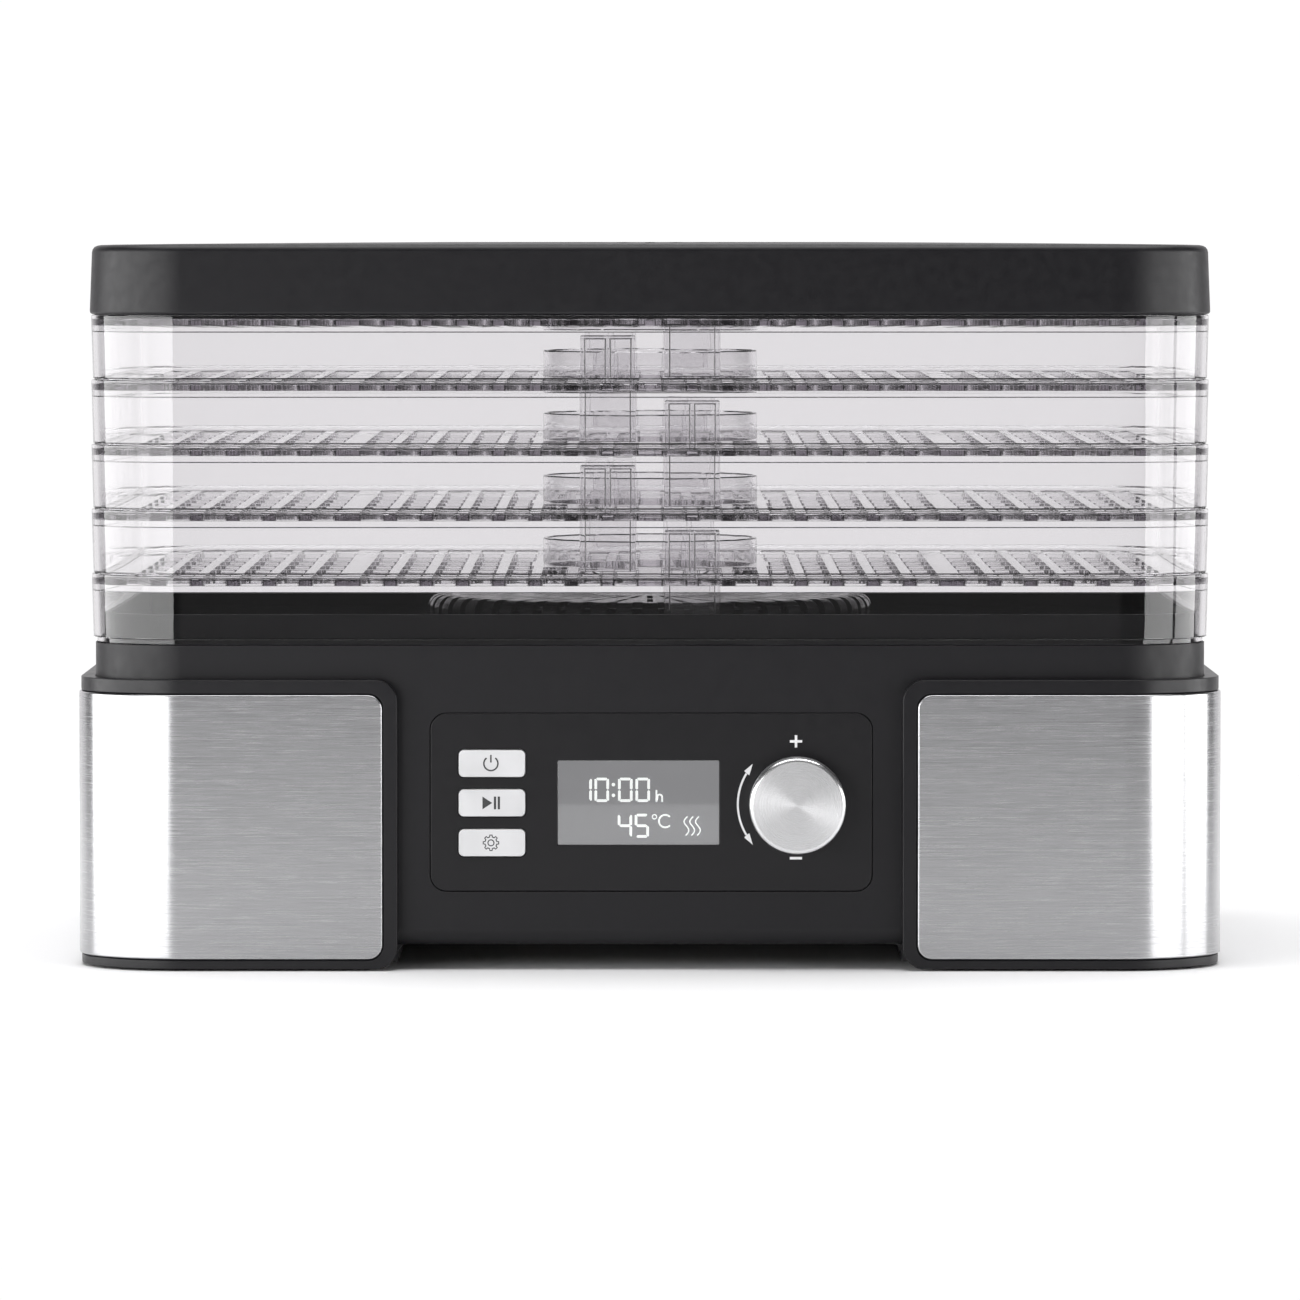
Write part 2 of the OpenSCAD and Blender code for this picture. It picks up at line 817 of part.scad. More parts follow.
// End bracket with a bearing seat and four feet that stand on the stator
module motor_bracket(z0, foot_z0, foot_z1) {
    color(metal)
        difference() {
            union() {
                box_z(0, 0, motor_w, 14, z0, z0 + bracket_t);
                box_z(0, 0, 14, motor_w - 8, z0, z0 + bracket_t);
                for (p = motor_bolts)
                    box_z(p[0], p[1] * 0.8, 8, 16, z0, z0 + bracket_t);
                for (p = motor_bolts)
                    bar_z(p[0], p[1], 3.4, foot_z0, foot_z1);
            }
            bar_z(0, 0, bearing_r + 0.02, 0, far);
            for (p = motor_bolts)
                bar_z(p[0], p[1], 1.7, 0, far);
        }
}

module motor_bracket_lower() {
    z1 = stator_z0 - 1.5;
    motor_bracket(z1 - bracket_t, z1 - 1, stator_z0 - 0.05);
}

module motor_bracket_upper() {
    z0 = stator_z0 + stator_h + 1.5;
    motor_bracket(z0, stator_z0 + stator_h + 0.05, z0 + 1);
}

module motor_bearings() {
    lower = stator_z0 - 1.5 - bracket_t - 0.6;
    upper = stator_z0 + stator_h + 1.5 - 0.6;
    color(copper)
        for (z = [lower, upper])
            difference() {
                bar_z(0, 0, bearing_r, z, z + bearing_h);
                bar_z(0, 0, shaft_r + bearing_gap, 0, far);
            }
}

mount_legs = [for (sx = [-1, 1], sy = [-1, 1]) [sx * 32, sy * 32]];
mount_z = 28;

// Bracket that stands on the intake and carries the motor
module motor_mount() {
    z0 = centre_z0 + plate_t + seam;
    color(metal)
        difference() {
            union() {
                box_z(0, 0, 72, 72, mount_z - 1.5, mount_z);
                for (p = mount_legs)
                    bar_z(p[0], p[1], 4, z0, mount_z - 1);
                for (p = motor_bolts)
                    bar_z(p[0], p[1], 3.4, mount_z - 0.5, stator_z0 - 1.5 - bracket_t - 0.05);
            }
            bar_z(0, 0, 8, 0, far);
            for (p = motor_bolts)
                bar_z(p[0], p[1], 1.7, 0, far);
            for (p = mount_legs)
                bar_z(p[0], p[1], 1.5, 0, z0 + 8);
        }
}

module motor_screws() {
    z1 = stator_z0 + stator_h + 1.5 + bracket_t;
    color(metal) {
        for (p = motor_bolts) {
            bar_z(p[0], p[1], 1.5, mount_z - 4, z1 + 1);
            bar_z(p[0], p[1], 2.8, z1 + 0.05, z1 + 2);
        }
        for (p = mount_legs) {
            bar_z(p[0], p[1], 1.4, centre_z0 - 0.5, centre_z0 + plate_t + 7);
            bar_z(p[0], p[1], 2.8, centre_z0 - 1.8, centre_z0 - 0.05);
        }
    }
}

// ---- Heater ----

module coil_rings(r) {
    translate([0, mid_y, heater_z])
        for (ring = coil_radii)
            rotate_extrude($fn = fine)
                translate([ring, 0])
                    circle(r = r, $fn = small);
}

// Crossed insulating plates, notched for the heating wire
module heater_frame() {
    color([0.78, 0.7, 0.55])
        difference() {
            union() {
                for (turn = [0, 90])
                    translate([0, mid_y, 0])
                        rotate([0, 0, turn])
                            translate([-duct_r + 0.6, -0.6, heater_z - 10])
                                cube([2 * duct_r - 1.2, 1.2, 20]);
            }
            coil_rings(coil_wire_r + 0.15);
        }
}

module heater_coil() {
    color(copper)
        coil_rings(coil_wire_r);
}

module thermal_cutout() {
    color(dark)
        translate([0, mid_y, 0])
            rotate([0, 0, 45])
                translate([duct_r - 12, -7, heater_z - 6])
                    cube([10, 14, 12]);
}

module temperature_sensor() {
    color(metal)
        translate([0, mid_y, heater_z])
            rotate([0, 0, 135])
                translate([duct_r - 14, 0, 0])
                    rotate([0, 90, 0])
                        cylinder(h = 13, r = 2, $fn = small);
}

// ---- Electronics in the left side ----

module power_board() {
    color(board_green)
        difference() {
            box_z(power_x, 0, power_w, power_d, power_z + seam, power_z + 1.7);
            for (p = power_posts)
                bar_z(p[0], p[1], 1.5, power_z - 1, power_z + 3);
        }
}

module power_relay() {
    color(dark)
        box_z(power_x - 18, 30, 20, 28, power_z + 1.8, power_z + 18);
}

module power_transformer() {
    color([0.75, 0.65, 0.2])
        box_z(power_x + 12, -22, 34, 38, power_z + 1.8, power_z + 30);
}

module filter_capacitor() {
    color([0.15, 0.2, 0.45])
        bar_z(power_x + 16, 28, 9, power_z + 1.8, power_z + 27);
}

// Screw terminals for the mains leads and the heater
module terminal_block() {
    color(board_green)
        difference() {
            box_z(power_x - 22, -20, 16, 42, power_z + 1.8, power_z + 16);
            for (i = [-1.5:1:1.5])
                bar_z(power_x - 22, -20 + 10 * i, 3, power_z + 10, power_z + 20);
        }
}

module board_screws() {
    color(metal)
        for (p = power_posts) {
            bar_z(p[0], p[1], 2.7, power_z + 1.75, power_z + 3.4);
            bar_z(p[0], p[1], 1.15, power_z - 7, power_z + 2);
        }
}

// ---- Fixings, feet and cord outlet ----

cord_x = 62;
cord_z = 26;
cord_hole_r = 3.6;
gland_neck_r = 6;

// Rubber bush in the back wall that the mains cord passes through
module cord_gland() {
    color(dark)
        difference() {
            union() {
                bar_y(cord_x, cord_z, gland_neck_r, rear_y - wall - 2, rear_y + 2);
                bar_y(cord_x, cord_z, gland_neck_r + 2.5, rear_y - wall - 2.5, rear_y - wall - 0.05);
                bar_y(cord_x, cord_z, gland_neck_r + 3, rear_y + 0.05, rear_y + 3.5);
            }
            bar_y(cord_x, cord_z, cord_hole_r, rear_y - wall - 5, rear_y + 5);
        }
}

module rubber_feet() {
    color(dark)
        for (p = foot_places) {
            bar_z(p[0], p[1], 10, 0, side_z0 - 0.05);
            bar_z(p[0], p[1], 2.9, 1, side_z0 + plate_t + 1.5);
        }
}

module housing_screws() {
    color(metal)
        for (p = housing_bosses) {
            bar_z(p[0], p[1], 3, side_z0 - 2, side_z0 - 0.05);
            bar_z(p[0], p[1], 1.3, side_z0 - 1, side_z0 + 14);
        }
}

lid();
tray_1();
tray_2();
tray_3();
tray_4();
tray_5();
base_housing();
bottom_plate();
left_side_frame();
right_side_frame();
left_steel_panel();
right_steel_panel();
deck_plate();
outlet_grille();
air_duct();
control_fascia();
display_window();
display_module();
control_board();
tact_switches();
power_plunger();
start_plunger();
settings_plunger();
power_button();
start_button();
settings_button();
knob();
encoder_shaft();
encoder_body();
encoder_nut();
fan_impeller();
motor_shaft();
motor_rotor();
motor_stator();
motor_coil();
motor_bracket_upper();
motor_bracket_lower();
motor_bearings();
motor_mount();
heater_frame();
heater_coil();
thermal_cutout();
temperature_sensor();
power_board();
power_relay();
power_transformer();
filter_capacitor();
terminal_block();
rubber_feet();
cord_gland();
housing_screws();
board_screws();
panel_screws();
motor_screws();
duct_screws();
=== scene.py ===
"""Looks for the food dehydrator: clear trays, a dark lid, brushed steel sides and a control panel."""

from math import atan, cos, hypot, pi, radians, sin, sqrt

import bmesh
import bpy
from mathutils import Matrix, Vector


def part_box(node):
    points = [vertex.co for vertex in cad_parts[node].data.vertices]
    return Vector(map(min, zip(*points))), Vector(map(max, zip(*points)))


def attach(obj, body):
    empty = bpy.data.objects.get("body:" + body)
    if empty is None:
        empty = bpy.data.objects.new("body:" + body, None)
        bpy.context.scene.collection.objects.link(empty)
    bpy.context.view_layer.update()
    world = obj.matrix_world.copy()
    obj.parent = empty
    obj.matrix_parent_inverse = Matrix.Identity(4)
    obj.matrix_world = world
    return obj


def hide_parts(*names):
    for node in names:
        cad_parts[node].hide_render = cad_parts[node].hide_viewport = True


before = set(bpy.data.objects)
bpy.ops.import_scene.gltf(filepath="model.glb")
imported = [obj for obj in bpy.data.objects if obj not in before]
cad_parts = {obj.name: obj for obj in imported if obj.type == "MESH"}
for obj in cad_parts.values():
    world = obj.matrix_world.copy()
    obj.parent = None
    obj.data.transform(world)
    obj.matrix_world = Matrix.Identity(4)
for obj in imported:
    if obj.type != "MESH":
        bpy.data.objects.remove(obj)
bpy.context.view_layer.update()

# Lengths in this script are millimetres, and become metres when a mesh is made.
MM = 0.001
CORNER_STEPS = 14          # faces round each quarter corner
FINE = 96                  # faces round a large circle
ROUND = 40                 # faces round a small circle
SMOOTH = 38                # edges sharper than this, in degrees, stay sharp
TRAY_SMOOTH = 30


def box_mm(node):
    """Lowest and highest corner of a CAD node, in millimetres."""
    low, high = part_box(node)
    return low / MM, high / MM


# ---------------------------------------------------------------- sizes from the frame

LID_LOW, LID_HIGH = box_mm("lid")
MID_Y = (LID_LOW.y + LID_HIGH.y) / 2
TRAY_LOW, TRAY_HIGH = box_mm("tray_5")
TRAY_HALF_W = (TRAY_HIGH.x - TRAY_LOW.x) / 2
TRAY_HALF_D = (TRAY_HIGH.y - TRAY_LOW.y) / 2
TRAY_R = 37.5                              # radius of its upright corners
STEEL_FRONT = box_mm("left_steel_panel")[0].y
FASCIA_LOW, FASCIA_HIGH = box_mm("control_fascia")
WINDOW_LOW, WINDOW_HIGH = box_mm("display_window")
KNOB_LOW, KNOB_HIGH = box_mm("knob")
KNOB_X = (KNOB_LOW.x + KNOB_HIGH.x) / 2
KNOB_Z = (KNOB_LOW.z + KNOB_HIGH.z) / 2
KNOB_R = (KNOB_HIGH.x - KNOB_LOW.x) / 2


# ---------------------------------------------------------------- mesh helpers

def arc(cx, cy, r, start, end, steps):
    """Points of an arc about cx, cy, from one angle to another, in degrees."""
    angles = [radians(start + (end - start) * i / steps) for i in range(steps + 1)]
    return [(cx + r * cos(a), cy + r * sin(a)) for a in angles]


def rounded(half_w, half_d, r, steps=CORNER_STEPS):
    """Outline of a rounded rectangle about the origin, anticlockwise."""
    x, y = half_w - r, half_d - r
    return (arc(x, y, r, 0, 90, steps) + arc(-x, y, r, 90, 180, steps)
            + arc(-x, -y, r, 180, 270, steps) + arc(x, -y, r, 270, 360, steps))


def mesh_object(name, points, faces, smooth=SMOOTH):
    """A mesh in metres from points in millimetres, smooth except across edges sharper than smooth."""
    mesh = bpy.data.meshes.new(name)
    mesh.from_pydata([Vector(p) * MM for p in points], [], faces)
    return finish_mesh(name, mesh, smooth)


def finish_mesh(name, mesh, smooth=SMOOTH):
    """An object for a mesh, tidied and put in the scene."""
    obj = bpy.data.objects.new(name, mesh)
    bpy.context.scene.collection.objects.link(obj)
    return tidy_mesh(obj, smooth)


def tidy_mesh(obj, smooth=SMOOTH):
    """Joins an object's coincident points, and shades it smooth except across sharp edges."""
    mesh = obj.data
    work = bmesh.new()
    work.from_mesh(mesh)
    bmesh.ops.remove_doubles(work, verts=work.verts, dist=1e-7)
    bmesh.ops.recalc_face_normals(work, faces=work.faces)
    work.to_mesh(mesh)
    work.free()
    for face in mesh.polygons:
        face.use_smooth = True
    mesh.set_sharp_from_angle(angle=radians(smooth))
    return obj


def bridge(rings):
    """Points and faces of a closed surface through rings of equal length, from the last back to the first."""
    n = len(rings[0])
    points = [p for ring in rings for p in ring]
    faces = []
    for i in range(len(rings)):
        a, b = i * n, ((i + 1) % len(rings)) * n
        for j in range(n):
            k = (j + 1) % n
            faces.append((a + j, a + k, b + k, b + j))
    return points, faces


def sweep(name, half_w, half_d, radius, profile):
    """Carries a profile of (inset, height) points round a rounded rectangle about the trays' axis."""
    rings = []
    for inset, z in profile:
        outline = rounded(half_w - inset, half_d - inset, max(radius - inset, 0.5))
        rings.append([(x, MID_Y + y, z) for x, y in outline])
    return mesh_object(name, *bridge(rings))


def revolve(name, profile, centre, axis="Z", steps=FINE):
    """Turns a profile of (radius, height) about a line through centre, along Z or towards -Y."""
    cx, cy, cz = centre
    rings = []
    for i in range(steps):
        a = 2 * pi * i / steps
        ring = []
        for r, h in profile:
            if axis == "Z":
                ring.append((cx + r * cos(a), cy + r * sin(a), cz + h))
            else:
                ring.append((cx + r * cos(a), cy - h, cz + r * sin(a)))
        rings.append(ring)
    return mesh_object(name, *bridge(rings))


def plate(name, outlines, low, high, bevel, bevel_steps, facing="Z"):
    """A flat plate with holes: outlines are closed lists of points, and each one inside another is a hole."""
    curve = bpy.data.curves.new(name, "CURVE")
    curve.dimensions = "2D"
    curve.fill_mode = "BOTH"
    for outline in outlines:
        spline = curve.splines.new("POLY")
        spline.points.add(len(outline) - 1)
        for point, (x, y) in zip(spline.points, outline):
            point.co = (x * MM, y * MM, 0, 1)
        spline.use_cyclic_u = True
    curve.extrude = ((high - low) / 2 - bevel) * MM
    curve.bevel_depth = bevel * MM
    curve.bevel_resolution = bevel_steps
    curve.offset = -bevel * MM
    holder = bpy.data.objects.new(name + ".curve", curve)
    bpy.context.scene.collection.objects.link(holder)
    bpy.context.view_layer.update()
    graph = bpy.context.evaluated_depsgraph_get()
    mesh = bpy.data.meshes.new_from_object(holder.evaluated_get(graph), depsgraph=graph)
    bpy.data.objects.remove(holder)
    middle = (low + high) / 2 * MM
    if facing == "Z":
        mesh.transform(Matrix.Translation((0, 0, middle)))
    else:                                  # drawn in X and Z, with its face towards -Y
        mesh.transform(Matrix.Translation((0, middle, 0)) @ Matrix.Rotation(radians(90), 4, "X"))
    mesh.name = name
    return finish_mesh(name, mesh)


def combine(obj, other, operation="UNION"):
    """Joins other into obj, or cuts it out, and removes other."""
    modifier = obj.modifiers.new("combine", "BOOLEAN")
    modifier.operation = operation
    modifier.solver = "MANIFOLD"
    modifier.object = other
    bpy.context.view_layer.update()
    graph = bpy.context.evaluated_depsgraph_get()
    mesh = bpy.data.meshes.new_from_object(obj.evaluated_get(graph), depsgraph=graph)
    obj.modifiers.clear()
    old = obj.data
    obj.data = mesh
    bpy.data.meshes.remove(old)
    bpy.data.objects.remove(other)


def join(name, parts):
    """One object from several, with their meshes kept as they are."""
    work = bmesh.new()
    for part in parts:
        part.data.transform(part.matrix_world)
        work.from_mesh(part.data)
        bpy.data.objects.remove(part)
    mesh = bpy.data.meshes.new(name)
    work.to_mesh(mesh)
    work.free()
    return finish_mesh(name, mesh)


def material(name, color, metallic, roughness, **sockets):
    """A new principled material. Other sockets are named in lower case with underscores."""
    mat = bpy.data.materials.new(name)
    mat.use_nodes = True
    shader = mat.node_tree.nodes["Principled BSDF"]
    shader.inputs["Base Color"].default_value = (*color, 1)
    shader.inputs["Metallic"].default_value = metallic
    shader.inputs["Roughness"].default_value = roughness
    for key, value in sockets.items():
        shader.inputs[key.replace("_", " ").title().replace("Ior", "IOR")].default_value = value
    return mat, mat.node_tree, shader


def place_coordinates(tree, scale):
    """Position on the object in metres, stretched by a scale for each axis."""
    coords = tree.nodes.new("ShaderNodeTexCoord")
    mapping = tree.nodes.new("ShaderNodeMapping")
    mapping.inputs["Scale"].default_value = scale
    tree.links.new(coords.outputs["Object"], mapping.inputs["Vector"])
    return mapping.outputs["Vector"]


def noise(tree, vector, scale, detail, rough=0.5):
    """A noise's value, about 0.3 to 0.7."""
    node = tree.nodes.new("ShaderNodeTexNoise")
    node.inputs["Scale"].default_value = scale
    node.inputs["Detail"].default_value = detail
    node.inputs["Roughness"].default_value = rough
    tree.links.new(vector, node.inputs["Vector"])
    return node.outputs["Fac"]


def ranged(tree, value, low, high, from_low=0.3, from_high=0.7):
    """A value moved from one range to another."""
    node = tree.nodes.new("ShaderNodeMapRange")
    node.inputs["From Min"].default_value = from_low
    node.inputs["From Max"].default_value = from_high
    node.inputs["To Min"].default_value = low
    node.inputs["To Max"].default_value = high
    tree.links.new(value, node.inputs["Value"])
    return node.outputs["Result"]


def bump(tree, shader, height, strength, distance):
    """Fine relief from a value. The distance is in metres."""
    node = tree.nodes.new("ShaderNodeBump")
    node.inputs["Strength"].default_value = strength
    node.inputs["Distance"].default_value = distance
    tree.links.new(height, node.inputs["Height"])
    tree.links.new(node.outputs["Normal"], shader.inputs["Normal"])


def tinted(tree, shader, value, dark, light):
    """Varies the base colour between two colours with a value from 0 to 1."""
    mix = tree.nodes.new("ShaderNodeMix")
    mix.data_type = "RGBA"
    mix.inputs["A"].default_value = (*dark, 1)
    mix.inputs["B"].default_value = (*light, 1)
    tree.links.new(value, mix.inputs["Factor"])
    tree.links.new(mix.outputs["Result"], shader.inputs["Base Color"])


TEXTURED_SPECULAR = 0.34


def textured_plastic(name, color, roughness, grain=1400, depth=0.00004, strength=0.35):
    """Moulded plastic with a fine spark-eroded texture."""
    mat, tree, shader = material(name, color, 0, roughness, specular_ior_level=TEXTURED_SPECULAR)
    vector = place_coordinates(tree, (1, 1, 1))
    fine = noise(tree, vector, grain, 3, 0.6)
    broad = noise(tree, vector, grain / 6, 2)
    tinted(tree, shader, ranged(tree, fine, 0, 1),
           [c * 0.85 for c in color], [c * 1.2 for c in color])
    tree.links.new(ranged(tree, broad, roughness - 0.04, roughness + 0.04), shader.inputs["Roughness"])
    bump(tree, shader, fine, strength, depth)
    return mat


def smooth_plastic(name, color, roughness, **sockets):
    """Polished plastic with the faint unevenness of a moulding."""
    mat, tree, shader = material(name, color, 0, roughness, **sockets)
    vector = place_coordinates(tree, (1, 1, 1))
    waves = noise(tree, vector, 60, 1)
    tinted(tree, shader, ranged(tree, waves, 0, 1), [c * 0.95 for c in color], [c * 1.05 for c in color])
    bump(tree, shader, waves, 0.05, 0.0004)
    return mat


def metal(name, color, roughness):
    """Plain metal with fine tool marks."""
    mat, tree, shader = material(name, color, 1, roughness)
    marks = noise(tree, place_coordinates(tree, (1, 1, 1)), 900, 3, 0.6)
    tree.links.new(ranged(tree, marks, roughness * 0.8, roughness * 1.25), shader.inputs["Roughness"])
    tinted(tree, shader, ranged(tree, marks, 0, 1),
           [c * 0.9 for c in color], [min(c * 1.06, 1) for c in color])
    bump(tree, shader, marks, 0.1, 0.00002)
    return mat


def brushed_steel():
    """Steel sheet brushed along its length, so that its gloss is drawn out upwards and downwards."""
    mat, tree, shader = material("brushed_steel_sheet", (0.56, 0.56, 0.57), 1, 0.3, anisotropic=0.75)
    lines = noise(tree, place_coordinates(tree, (14, 14, 2600)), 1, 3, 0.65)
    short = noise(tree, place_coordinates(tree, (90, 90, 3500)), 1, 2, 0.6)
    both = tree.nodes.new("ShaderNodeMath")
    both.operation = "MULTIPLY_ADD"
    both.inputs[1].default_value = 0.5
    tree.links.new(short, both.inputs[0])
    half = tree.nodes.new("ShaderNodeMath")
    half.operation = "MULTIPLY"
    half.inputs[1].default_value = 0.5
    tree.links.new(lines, half.inputs[0])
    tree.links.new(half.outputs[0], both.inputs[2])
    marks = both.outputs[0]
    tinted(tree, shader, ranged(tree, marks, 0, 1, 0.35, 0.65), (0.40, 0.40, 0.41), (0.58, 0.58, 0.59))
    tree.links.new(ranged(tree, marks, 0.2, 0.3), shader.inputs["Roughness"])
    upwards = tree.nodes.new("ShaderNodeCombineXYZ")
    upwards.inputs["Z"].default_value = 1
    tree.links.new(upwards.outputs[0], shader.inputs["Tangent"])
    bump(tree, shader, marks, 0.10, 0.00002)
    return mat


def clear_plastic():
    """Clear tray plastic, with the slight ripple of a moulding. It darkens where it is seen lengthwise."""
    mat, tree, shader = material("clear_tray_plastic", (0.965, 0.96, 0.967), 0, 0.02, ior=1.5,
                                 transmission_weight=1.0)
    depth = tree.nodes.new("ShaderNodeVolumeAbsorption")
    depth.inputs["Color"].default_value = (0.30, 0.26, 0.32, 1)
    depth.inputs["Density"].default_value = 7.5
    tree.links.new(depth.outputs["Volume"], tree.nodes["Material Output"].inputs["Volume"])
    ripple = noise(tree, place_coordinates(tree, (1, 1, 0.5)), 90, 2)
    bump(tree, shader, ripple, 0.07, 0.0004)
    tree.links.new(ranged(tree, ripple, 0.004, 0.025), shader.inputs["Roughness"])
    return mat


def spun_aluminium():
    """A face turned on a lathe: fine rings about the dial's axis."""
    mat, tree, shader = material("spun_aluminium", (0.82, 0.82, 0.83), 1, 0.26, anisotropic=0.8,
                                 anisotropic_rotation=0.25)
    coords = tree.nodes.new("ShaderNodeTexCoord")
    mapping = tree.nodes.new("ShaderNodeMapping")
    mapping.inputs["Location"].default_value = (-KNOB_X * MM, 0, -KNOB_Z * MM)
    mapping.inputs["Scale"].default_value = (1, 0, 1)
    tree.links.new(coords.outputs["Object"], mapping.inputs["Vector"])
    length = tree.nodes.new("ShaderNodeVectorMath")
    length.operation = "LENGTH"
    tree.links.new(mapping.outputs["Vector"], length.inputs[0])
    ring = tree.nodes.new("ShaderNodeCombineXYZ")
    tree.links.new(length.outputs["Value"], ring.inputs["X"])
    rings = noise(tree, ring.outputs[0], 6500, 3, 0.7)
    tinted(tree, shader, ranged(tree, rings, 0, 1), (0.72, 0.72, 0.73), (0.88, 0.88, 0.89))
    tree.links.new(ranged(tree, rings, 0.2, 0.32), shader.inputs["Roughness"])
    tangent = tree.nodes.new("ShaderNodeTangent")
    tangent.direction_type = "RADIAL"
    tangent.axis = "Y"
    tree.links.new(tangent.outputs[0], shader.inputs["Tangent"])
    bump(tree, shader, rings, 0.12, 0.00002)
    return mat


def mottled(name, dark, light, roughness):
    """A material with an uneven colour, such as mica board or laminated sheet."""
    mat, tree, shader = material(name, light, 0, roughness)
    spots = noise(tree, place_coordinates(tree, (1, 1, 1)), 400, 4, 0.6)
    tinted(tree, shader, ranged(tree, spots, 0, 1), dark, light)
    bump(tree, shader, spots, 0.2, 0.00005)
    return mat


WAVE_PITCH = 0.314                         # a wave texture's pitch in metres at a scale of 1


def striped(name, dark, light, roughness, pitch, metallic=0.0):
    """Fine stripes one above the other, such as windings or stacked sheet. The pitch is in millimetres."""
    mat, tree, shader = material(name, light, metallic, roughness)
    wave = tree.nodes.new("ShaderNodeTexWave")
    wave.bands_direction = "Z"
    wave.inputs["Scale"].default_value = WAVE_PITCH / (pitch * MM)
    wave.inputs["Distortion"].default_value = 0.4
    tree.links.new(place_coordinates(tree, (1, 1, 1)), wave.inputs["Vector"])
    tinted(tree, shader, wave.outputs["Fac"], dark, light)
    bump(tree, shader, wave.outputs["Fac"], 0.5, 0.0002)
    return mat


# ---------------------------------------------------------------- placing pieces

FULL_WEIGHT = 100          # large faces stay flat, and the roundings between them curve


def add(piece, body, slot, mat, *nodes):
    """Gives a piece its material and its body, and hides the CAD nodes that it stands for. The slot is not
    used.
    """
    piece.data.materials.clear()
    piece.data.materials.append(mat)
    normals = piece.modifiers.new("normals", "WEIGHTED_NORMAL")
    normals.weight = FULL_WEIGHT
    normals.keep_sharp = True
    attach(piece, body)
    if nodes:
        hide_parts(*nodes)


def soften_group():
    """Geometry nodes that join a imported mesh's split corners and shade it smooth."""
    group = bpy.data.node_groups.new("soften", "GeometryNodeTree")
    group.interface.new_socket("Geometry", in_out="INPUT", socket_type="NodeSocketGeometry")
    group.interface.new_socket("Geometry", in_out="OUTPUT", socket_type="NodeSocketGeometry")
    source = group.nodes.new("NodeGroupInput")
    merge = group.nodes.new("GeometryNodeMergeByDistance")
    merge.inputs["Distance"].default_value = 0.000002
    shade = group.nodes.new("GeometryNodeSetShadeSmooth")
    result = group.nodes.new("NodeGroupOutput")
    group.links.new(source.outputs[0], merge.inputs["Geometry"])
    group.links.new(merge.outputs["Geometry"], shade.inputs["Geometry"])
    group.links.new(shade.outputs["Geometry"], result.inputs[0])
    return group


SOFTEN = soften_group()


def dress(mat, *nodes, bevel=0.0, segments=2):
    """Gives carried-over CAD nodes a material, joined corners and rounded edges."""
    for node in nodes:
        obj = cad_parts[node]
        obj.data.materials.clear()
        obj.data.materials.append(mat)
        soften = obj.modifiers.new("soften", "NODES")
        soften.node_group = SOFTEN
        flat = obj.modifiers.new("flat_faces", "DECIMATE")
        flat.decimate_type = "DISSOLVE"
        flat.angle_limit = radians(0.6)
        if bevel:
            edges = obj.modifiers.new("rounded_edges", "BEVEL")
            edges.width = bevel * MM
            edges.segments = segments
            edges.limit_method = "ANGLE"
            edges.angle_limit = radians(32)
            edges.use_clamp_overlap = True
        normals = obj.modifiers.new("normals", "WEIGHTED_NORMAL")
        normals.weight = FULL_WEIGHT
        normals.keep_sharp = False


# ---------------------------------------------------------------- trays

FLOOR_LOW, FLOOR_TOP = 22.9, 26.1          # the tray's floor, above the foot of its skirt
TRAY_TOP = 27.0                            # its rim
LEDGE = 25.2                               # the ledge inside the rim, which the tray above stands on
LEDGE_IN = 4.8                             # how far in the ledge ends and the floor begins
FLANGE = 7.5                               # how far the floor's whole border reaches in
SLOT_W, SLOT_PITCH, SLOT_LEN, ROW_PITCH = 10.0, 14.15, 36.5, 41.0
SLOT_STARTS = [4.5 + SLOT_PITCH * i for i in range(8)] + [122.5 + SLOT_PITCH * i for i in range(6)]
SLOT_MIN = 4.0                             # a shorter slot is left out
BORDER = 3.5                               # least width of the floor outside the slots
FLOOR_HALF_W, FLOOR_HALF_D, FLOOR_R = TRAY_HALF_W - LEDGE_IN, TRAY_HALF_D - LEDGE_IN, 32.0
COLLAR_IN, COLLAR_OUT, COLLAR_FOOT, COLLAR_TOP = 41.5, 43.5, 21.5, 36.7
LAND_R = 47.5                              # the floor is whole as far as this round the collar
POST_X, POST_Y = 16.5, 136.0               # middle of a stacking post
POST_TOP = 44.5


def slot_outline(x0, y0, x1, y1, r=1.2, steps=3):
    """Outline of a slot between two corners."""
    cx, cy = (x0 + x1) / 2, (y0 + y1) / 2
    return [(cx + x, cy + y) for x, y in rounded((x1 - x0) / 2, (y1 - y0) / 2, r, steps)]


def slot_limit(x):
    """How far from the middle a slot may reach where its outer side is at x."""
    over = max(0.0, x - (FLOOR_HALF_W - FLOOR_R))
    return FLOOR_HALF_D - FLOOR_R + sqrt(FLOOR_R ** 2 - over ** 2) - BORDER


